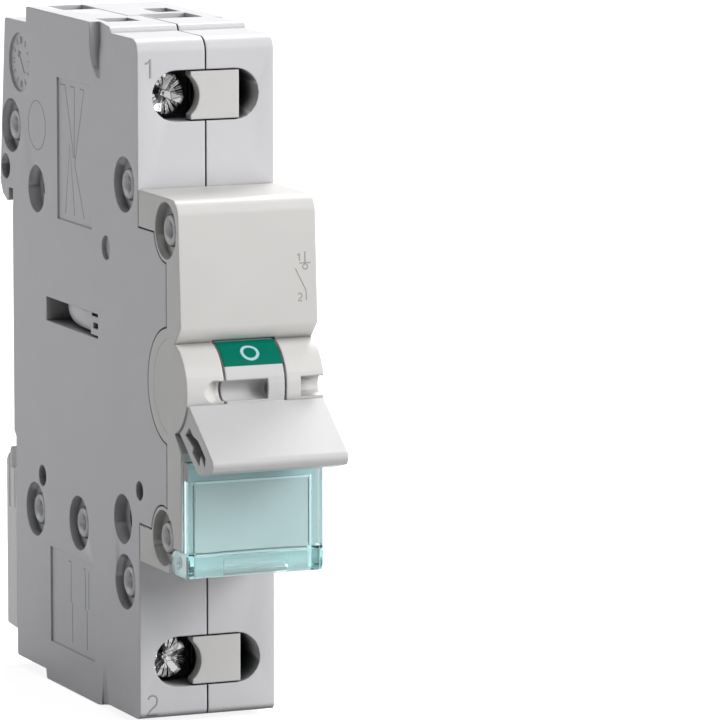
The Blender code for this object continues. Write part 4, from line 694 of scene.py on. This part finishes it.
def sparkling_plate():
    """Bright zinc over a pressed head, with painted glints in light and dark cells and painted
    shade between them.
    """
    metal = bpy.data.materials.new("bright zinc screw")
    metal.use_nodes = True
    tree = metal.node_tree
    add, wire = tree.nodes.new, tree.links.new
    shader = tree.nodes["Principled BSDF"]
    shader.inputs["Metallic"].default_value = 1.0
    shader.inputs["Roughness"].default_value = 0.17
    place = add("ShaderNodeTexCoord")
    cells, borders = add("ShaderNodeTexVoronoi"), add("ShaderNodeTexVoronoi")
    borders.feature = "DISTANCE_TO_EDGE"
    for sparkle_cells in (cells, borders):
        sparkle_cells.inputs["Scale"].default_value = SPARKLE_CELLS
        wire(place.outputs["Object"], sparkle_cells.inputs["Vector"])
    # Painted light: the cells' light and dark tones stand for glints in the plating, and the dark
    # lines at their edges for shade. The bump gives the real dents.
    tone = add("ShaderNodeSeparateColor")
    wire(cells.outputs["Color"], tone.inputs["Color"])
    painted_glint = add("ShaderNodeMapRange")
    painted_glint.inputs["To Min"].default_value = 0.30
    painted_glint.inputs["To Max"].default_value = 0.80
    wire(tone.outputs["Red"], painted_glint.inputs["Value"])
    line = add("ShaderNodeMapRange")
    line.inputs["From Max"].default_value = 0.09
    line.inputs["To Min"].default_value = 0.55
    wire(borders.outputs["Distance"], line.inputs["Value"])
    shade = add("ShaderNodeMath")
    shade.operation = "MULTIPLY"
    wire(painted_glint.outputs["Result"], shade.inputs[0])
    wire(line.outputs["Result"], shade.inputs[1])
    grey = add("ShaderNodeCombineColor")
    for channel in ("Red", "Green", "Blue"):
        wire(shade.outputs["Value"], grey.inputs[channel])
    wire(grey.outputs["Color"], shader.inputs["Base Color"])
    bump = add("ShaderNodeBump")
    bump.inputs["Strength"].default_value = 0.55
    bump.inputs["Distance"].default_value = 0.12 * MM
    wire(cells.outputs["Distance"], bump.inputs["Height"])
    wire(bump.outputs["Normal"], shader.inputs["Normal"])
    return metal


def driver_recess(u, v):
    """Depth of the head's face at (u, v): ridged quarters round a cross, dished to the middle."""
    r, way = math.hypot(u, v), math.atan2(v, u)
    ridge = RIDGE_DEEP * (0.5 - 0.5 * math.cos(RIDGES * way)) * min(1.0, r / RIDGE_FULL)
    deepest = ridge + max(0.0, DISH_DEEP - DISH_SLOPE * r)
    for a, b in ((u, v), (v, u)):
        wall = (CROSS_HALF + CROSS_TAPER * abs(a) - abs(b)) / CROSS_WALL
        deepest = max(deepest, min(1.0, max(0.0, wall)) * (CROSS_DEEP - CROSS_SLOPE * abs(a)))
    return deepest


def screw_head(level):
    """The screw, spun from its profile, with the recess pressed into the fine mesh of its face."""
    low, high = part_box(f"terminal_screw_{level}")
    profile = [(HEAD_FACE * i / HEAD_RINGS, HEAD_FRONT) for i in range(HEAD_RINGS + 1)]
    profile += [(HEAD_RADIUS - 0.12 * MM, HEAD_FRONT + 0.10 * MM),
                (HEAD_RADIUS, HEAD_FRONT + 0.35 * MM), (HEAD_RADIUS, HEAD_BACK),
                (SHANK_RADIUS, HEAD_BACK), (SHANK_RADIUS, high.y - TIP_TALL),
                (TIP_RADIUS, high.y), (0, high.y)]
    bm = turned([(r, y, 0) for r, y in profile], (0, 1, 0), 144)
    for vert in bm.verts:
        if vert.co.y < HEAD_FRONT + 0.005 * MM:
            vert.co.y += driver_recess(vert.co.x, vert.co.z)
    bmesh.ops.recalc_face_normals(bm, faces=bm.faces)
    bmesh.ops.rotate(bm, verts=bm.verts, cent=(0, 0, 0),
                     matrix=Matrix.Rotation(math.radians(SCREW_TURN[level]), 3, "Y"))
    bmesh.ops.translate(bm, verts=bm.verts, vec=(SCREW_X, 0, (low.z + high.z) / 2))
    piece = put(f"clamp_screw_{level}", meshed(bm, f"clamp_screw_{level}"), bright_plate, 35)
    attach(piece, f"screw_{level}")
    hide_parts(f"terminal_screw_{level}")


bright_plate = sparkling_plate()
for level in ("upper", "lower"):
    screw_head(level)
    merged_copy(f"terminal_cage_{level}", f"cage_{level}", f"cage_{level}", axle_steel)

# Beside each screw a grey block fills most of the opening, flush with the shoulder, and leaves a
# half-moon that looks down into the terminal room.
block_plastic = moulding("terminal block plastic", (0.615, 0.611, 0.600))
for level in ("upper", "lower"):
    merged_copy(f"terminal_insert_{level}", f"block_{level}", "housing", block_plastic, angle=20)

# The rail clip is a separate foot in a paler grey, moulded with its own spring, that slides down
# to free the rail.
clip_plastic = moulding("clip plastic", (0.94, 0.935, 0.925), roughness=0.46, hollow=1.0)
merged_copy("rail_clip", "foot_clip", "clip", clip_plastic)

# The label window is a flap of clear aqua plastic on two studs. Light gathers in its edges, and
# lamps shine through it on the card behind.
WINDOW_FACE = (0.850, 0.915, 0.925)
WINDOW_SHADOW = (0.62, 0.62, 0.63)
WINDOW_DEPTH = (0.12, 0.72, 0.74)
WINDOW_DENSITY = 180.0
WINDOW_EDGE = 0.16 * MM


def clear_plastic():
    """Clear plastic that takes its colour from the depth of plastic that light goes through."""
    clear = bpy.data.materials.new("clear aqua plastic")
    clear.use_nodes = True
    tree = clear.node_tree
    add, wire = tree.nodes.new, tree.links.new
    shader = tree.nodes["Principled BSDF"]
    shader.inputs["Transmission Weight"].default_value = 1.0
    shader.inputs["IOR"].default_value = 1.49
    place = add("ShaderNodeTexCoord")
    flow = add("ShaderNodeTexNoise")
    flow.inputs["Scale"].default_value = 260
    wire(place.outputs["Object"], flow.inputs["Vector"])
    shade = add("ShaderNodeMix")
    shade.data_type = "RGBA"
    shade.inputs["A"].default_value = (*WINDOW_FACE, 1)
    shade.inputs["B"].default_value = (*(c * 0.97 for c in WINDOW_FACE), 1)
    wire(flow.outputs["Fac"], shade.inputs["Factor"])
    wire(shade.outputs["Result"], shader.inputs["Base Color"])
    rough = add("ShaderNodeMapRange")
    rough.inputs["To Min"].default_value = 0.01
    rough.inputs["To Max"].default_value = 0.04
    wire(flow.outputs["Fac"], rough.inputs["Value"])
    wire(rough.outputs["Result"], shader.inputs["Roughness"])
    through = add("ShaderNodeBsdfTransparent")
    through.inputs["Color"].default_value = (*WINDOW_SHADOW, 1)
    ray = add("ShaderNodeLightPath")
    choose = add("ShaderNodeMixShader")
    wire(ray.outputs["Is Shadow Ray"], choose.inputs["Fac"])
    wire(shader.outputs["BSDF"], choose.inputs[1])
    wire(through.outputs["BSDF"], choose.inputs[2])
    wire(choose.outputs["Shader"], tree.nodes["Material Output"].inputs["Surface"])
    depth = add("ShaderNodeVolumeAbsorption")
    depth.inputs["Color"].default_value = (*WINDOW_DEPTH, 1)
    depth.inputs["Density"].default_value = WINDOW_DENSITY
    wire(depth.outputs["Volume"], tree.nodes["Material Output"].inputs["Volume"])
    return clear


flap = merged_copy("label_window", "flap", "window", clear_plastic(), angle=30)
edge_round = flap.modifiers.new("Moulded edges", "BEVEL")
edge_round.width = WINDOW_EDGE
edge_round.segments = 2
edge_round.limit_method = "ANGLE"
edge_round.angle_limit = math.radians(50)

# The label behind the flap is a plain card. A thin pale strip over its upper edge is a painted
# highlight, and shows as a bright line.
HIGHLIGHT_STRIP_SIZE = (15.2 * MM, 0.12 * MM, 0.30 * MM)
HIGHLIGHT_STRIP_PLACE = (-0.22 * MM, -57.79 * MM, -11.06 * MM)
card_paper = moulding("label card", (0.63, 0.58, 0.575), roughness=0.8, grain=0.6,
                      corner=0.02 * MM, hollow=1.0)
merged_copy("label_card", "card", "housing", card_paper)
# The pale strip is a painted highlight along the card's top edge.
highlight_strip_material = moulding("painted highlight strip", (0.90, 0.90, 0.88), roughness=0.7, corner=0.02 * MM, hollow=1.0)
bm = bmesh.new()
bmesh.ops.create_cube(bm, size=1.0)
bmesh.ops.scale(bm, verts=bm.verts, vec=HIGHLIGHT_STRIP_SIZE)
bmesh.ops.translate(bm, verts=bm.verts, vec=HIGHLIGHT_STRIP_PLACE)
painted_highlight_strip = put("painted_highlight_strip", meshed(bm, "painted_highlight_strip"), highlight_strip_material)
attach(painted_highlight_strip, "housing")

# The part stands on a plain pale sheet that keeps its shadow. The sheet and the room behind it
# show as white to the eye and in reflections, and are grey and nearly dark to all other light.
FLOOR_Z = -42.9 * MM
FLOOR_HALF = 6.0
FLOOR_GREY = (0.40, 0.40, 0.40)
ROOM_WHITE = (1, 1, 1)
ROOM_FILL = (0.96, 0.97, 1.0)


def seen_straight(tree):
    """One for rays from the camera, a mirror or through glass, and zero for all other light."""
    ray = tree.nodes.new("ShaderNodeLightPath")
    seen = ray.outputs["Is Camera Ray"]
    for kind in ("Is Glossy Ray", "Is Transmission Ray"):
        either = tree.nodes.new("ShaderNodeMath")
        either.operation = "MAXIMUM"
        tree.links.new(seen, either.inputs[0])
        tree.links.new(ray.outputs[kind], either.inputs[1])
        seen = either.outputs["Value"]
    return seen


def pale_sheet():
    """Matt sheet whose own glow lifts it to white where it is seen, a little less near the part."""
    sheet = bpy.data.materials.new("pale floor")
    sheet.use_nodes = True
    tree = sheet.node_tree
    add, wire = tree.nodes.new, tree.links.new
    shader = tree.nodes["Principled BSDF"]
    shader.inputs["Base Color"].default_value = (*FLOOR_GREY, 1)
    shader.inputs["Roughness"].default_value = 0.9
    shader.inputs["Specular IOR Level"].default_value = 0.0
    glow = add("ShaderNodeEmission")
    place = add("ShaderNodeTexCoord")
    far = add("ShaderNodeVectorMath")
    far.operation = "LENGTH"
    wire(place.outputs["Object"], far.inputs[0])
    fade = add("ShaderNodeMapRange")
    fade.inputs["From Min"].default_value = 0.08
    fade.inputs["From Max"].default_value = 0.35
    fade.inputs["To Min"].default_value = 0.88
    wire(far.outputs["Value"], fade.inputs["Value"])
    wire(fade.outputs["Result"], glow.inputs["Strength"])
    lift = add("ShaderNodeAddShader")
    wire(shader.outputs["BSDF"], lift.inputs[0])
    wire(glow.outputs["Emission"], lift.inputs[1])
    pick = add("ShaderNodeMixShader")
    wire(seen_straight(tree), pick.inputs["Fac"])
    wire(shader.outputs["BSDF"], pick.inputs[1])
    wire(lift.outputs["Shader"], pick.inputs[2])
    wire(pick.outputs["Shader"], tree.nodes["Material Output"].inputs["Surface"])
    return sheet


bm = bmesh.new()
bmesh.ops.create_grid(bm, x_segments=1, y_segments=1, size=FLOOR_HALF)
bmesh.ops.translate(bm, verts=bm.verts, vec=(0, 0, FLOOR_Z))
floor = put("floor", meshed(bm, "floor"), pale_sheet())

room = bpy.data.worlds.new("studio")
bpy.context.scene.world = room
room.use_nodes = True
tree = room.node_tree
tree.nodes.clear()
pick = tree.nodes.new("ShaderNodeMixShader")
tree.links.new(seen_straight(tree), pick.inputs["Fac"])
for socket, colour, strength in ((1, ROOM_FILL, 0.02), (2, ROOM_WHITE, 1.0)):
    back = tree.nodes.new("ShaderNodeBackground")
    back.inputs["Color"].default_value = (*colour, 1)
    back.inputs["Strength"].default_value = strength
    tree.links.new(back.outputs["Background"], pick.inputs[socket])
out = tree.nodes.new("ShaderNodeOutputWorld")
tree.links.new(pick.outputs["Shader"], out.inputs["Surface"])

# Five square soft lamps light the part from the right, the front, above and behind, so that the
# left side falls into an even half shade. Their light is close to white.
SOFTBOXES = (  # name, place, aim, size, power and colour
    ("right key", (0.95, -0.85, 0.50), (0, -0.03, 0), 0.6, 14.6, (1.0, 0.99, 0.985)),
    ("front soft", (0.55, -1.0, 0.85), (0, -0.03, 0), 0.7, 2.9, (0.99, 0.99, 1.0)),
    ("top soft", (0.0, -0.75, 1.05), (0, -0.03, 0), 0.7, 4.3, (1, 1, 1)),
    ("rear top", (0.55, 0.55, 1.0), (0, -0.02, 0), 0.6, 14.0, (1, 1, 1)),
    ("back fill", (-0.95, 0.85, 0.40), (0, -0.03, 0), 0.8, 3.6, (0.97, 0.98, 1.0)),
)

for name, place, aim, size, power, colour in SOFTBOXES:
    lamp = bpy.data.lights.new(name, "AREA")
    lamp.shape = "SQUARE"
    lamp.size = size
    lamp.energy = power
    lamp.color = colour
    holder = bpy.data.objects.new(name, lamp)
    holder.location = place
    holder.rotation_euler = (Vector(aim) - Vector(place)).to_track_quat("-Z", "Y").to_euler()
    bpy.context.scene.collection.objects.link(holder)

# The camera stands far off to the left of the part and a little above it, with a long lens. Its
# place and its line of sight were fitted to the photo.
LOOK_FROM = Vector((-290.22, -775.21, 116.46)) * MM
LOOK_ALONG = Vector((0.38646, 0.91088, -0.14472))
LENS = 329.94

eye = bpy.data.cameras.new("camera")
eye.lens = LENS
eye.sensor_width = 36
eye.clip_start = 0.05
eye.clip_end = 50
camera = bpy.data.objects.new("camera", eye)
camera.location = LOOK_FROM
camera.rotation_euler = LOOK_ALONG.to_track_quat("-Z", "Y").to_euler()
bpy.context.scene.collection.objects.link(camera)
bpy.context.scene.camera = camera
bpy.context.scene.view_settings.view_transform = "Standard"
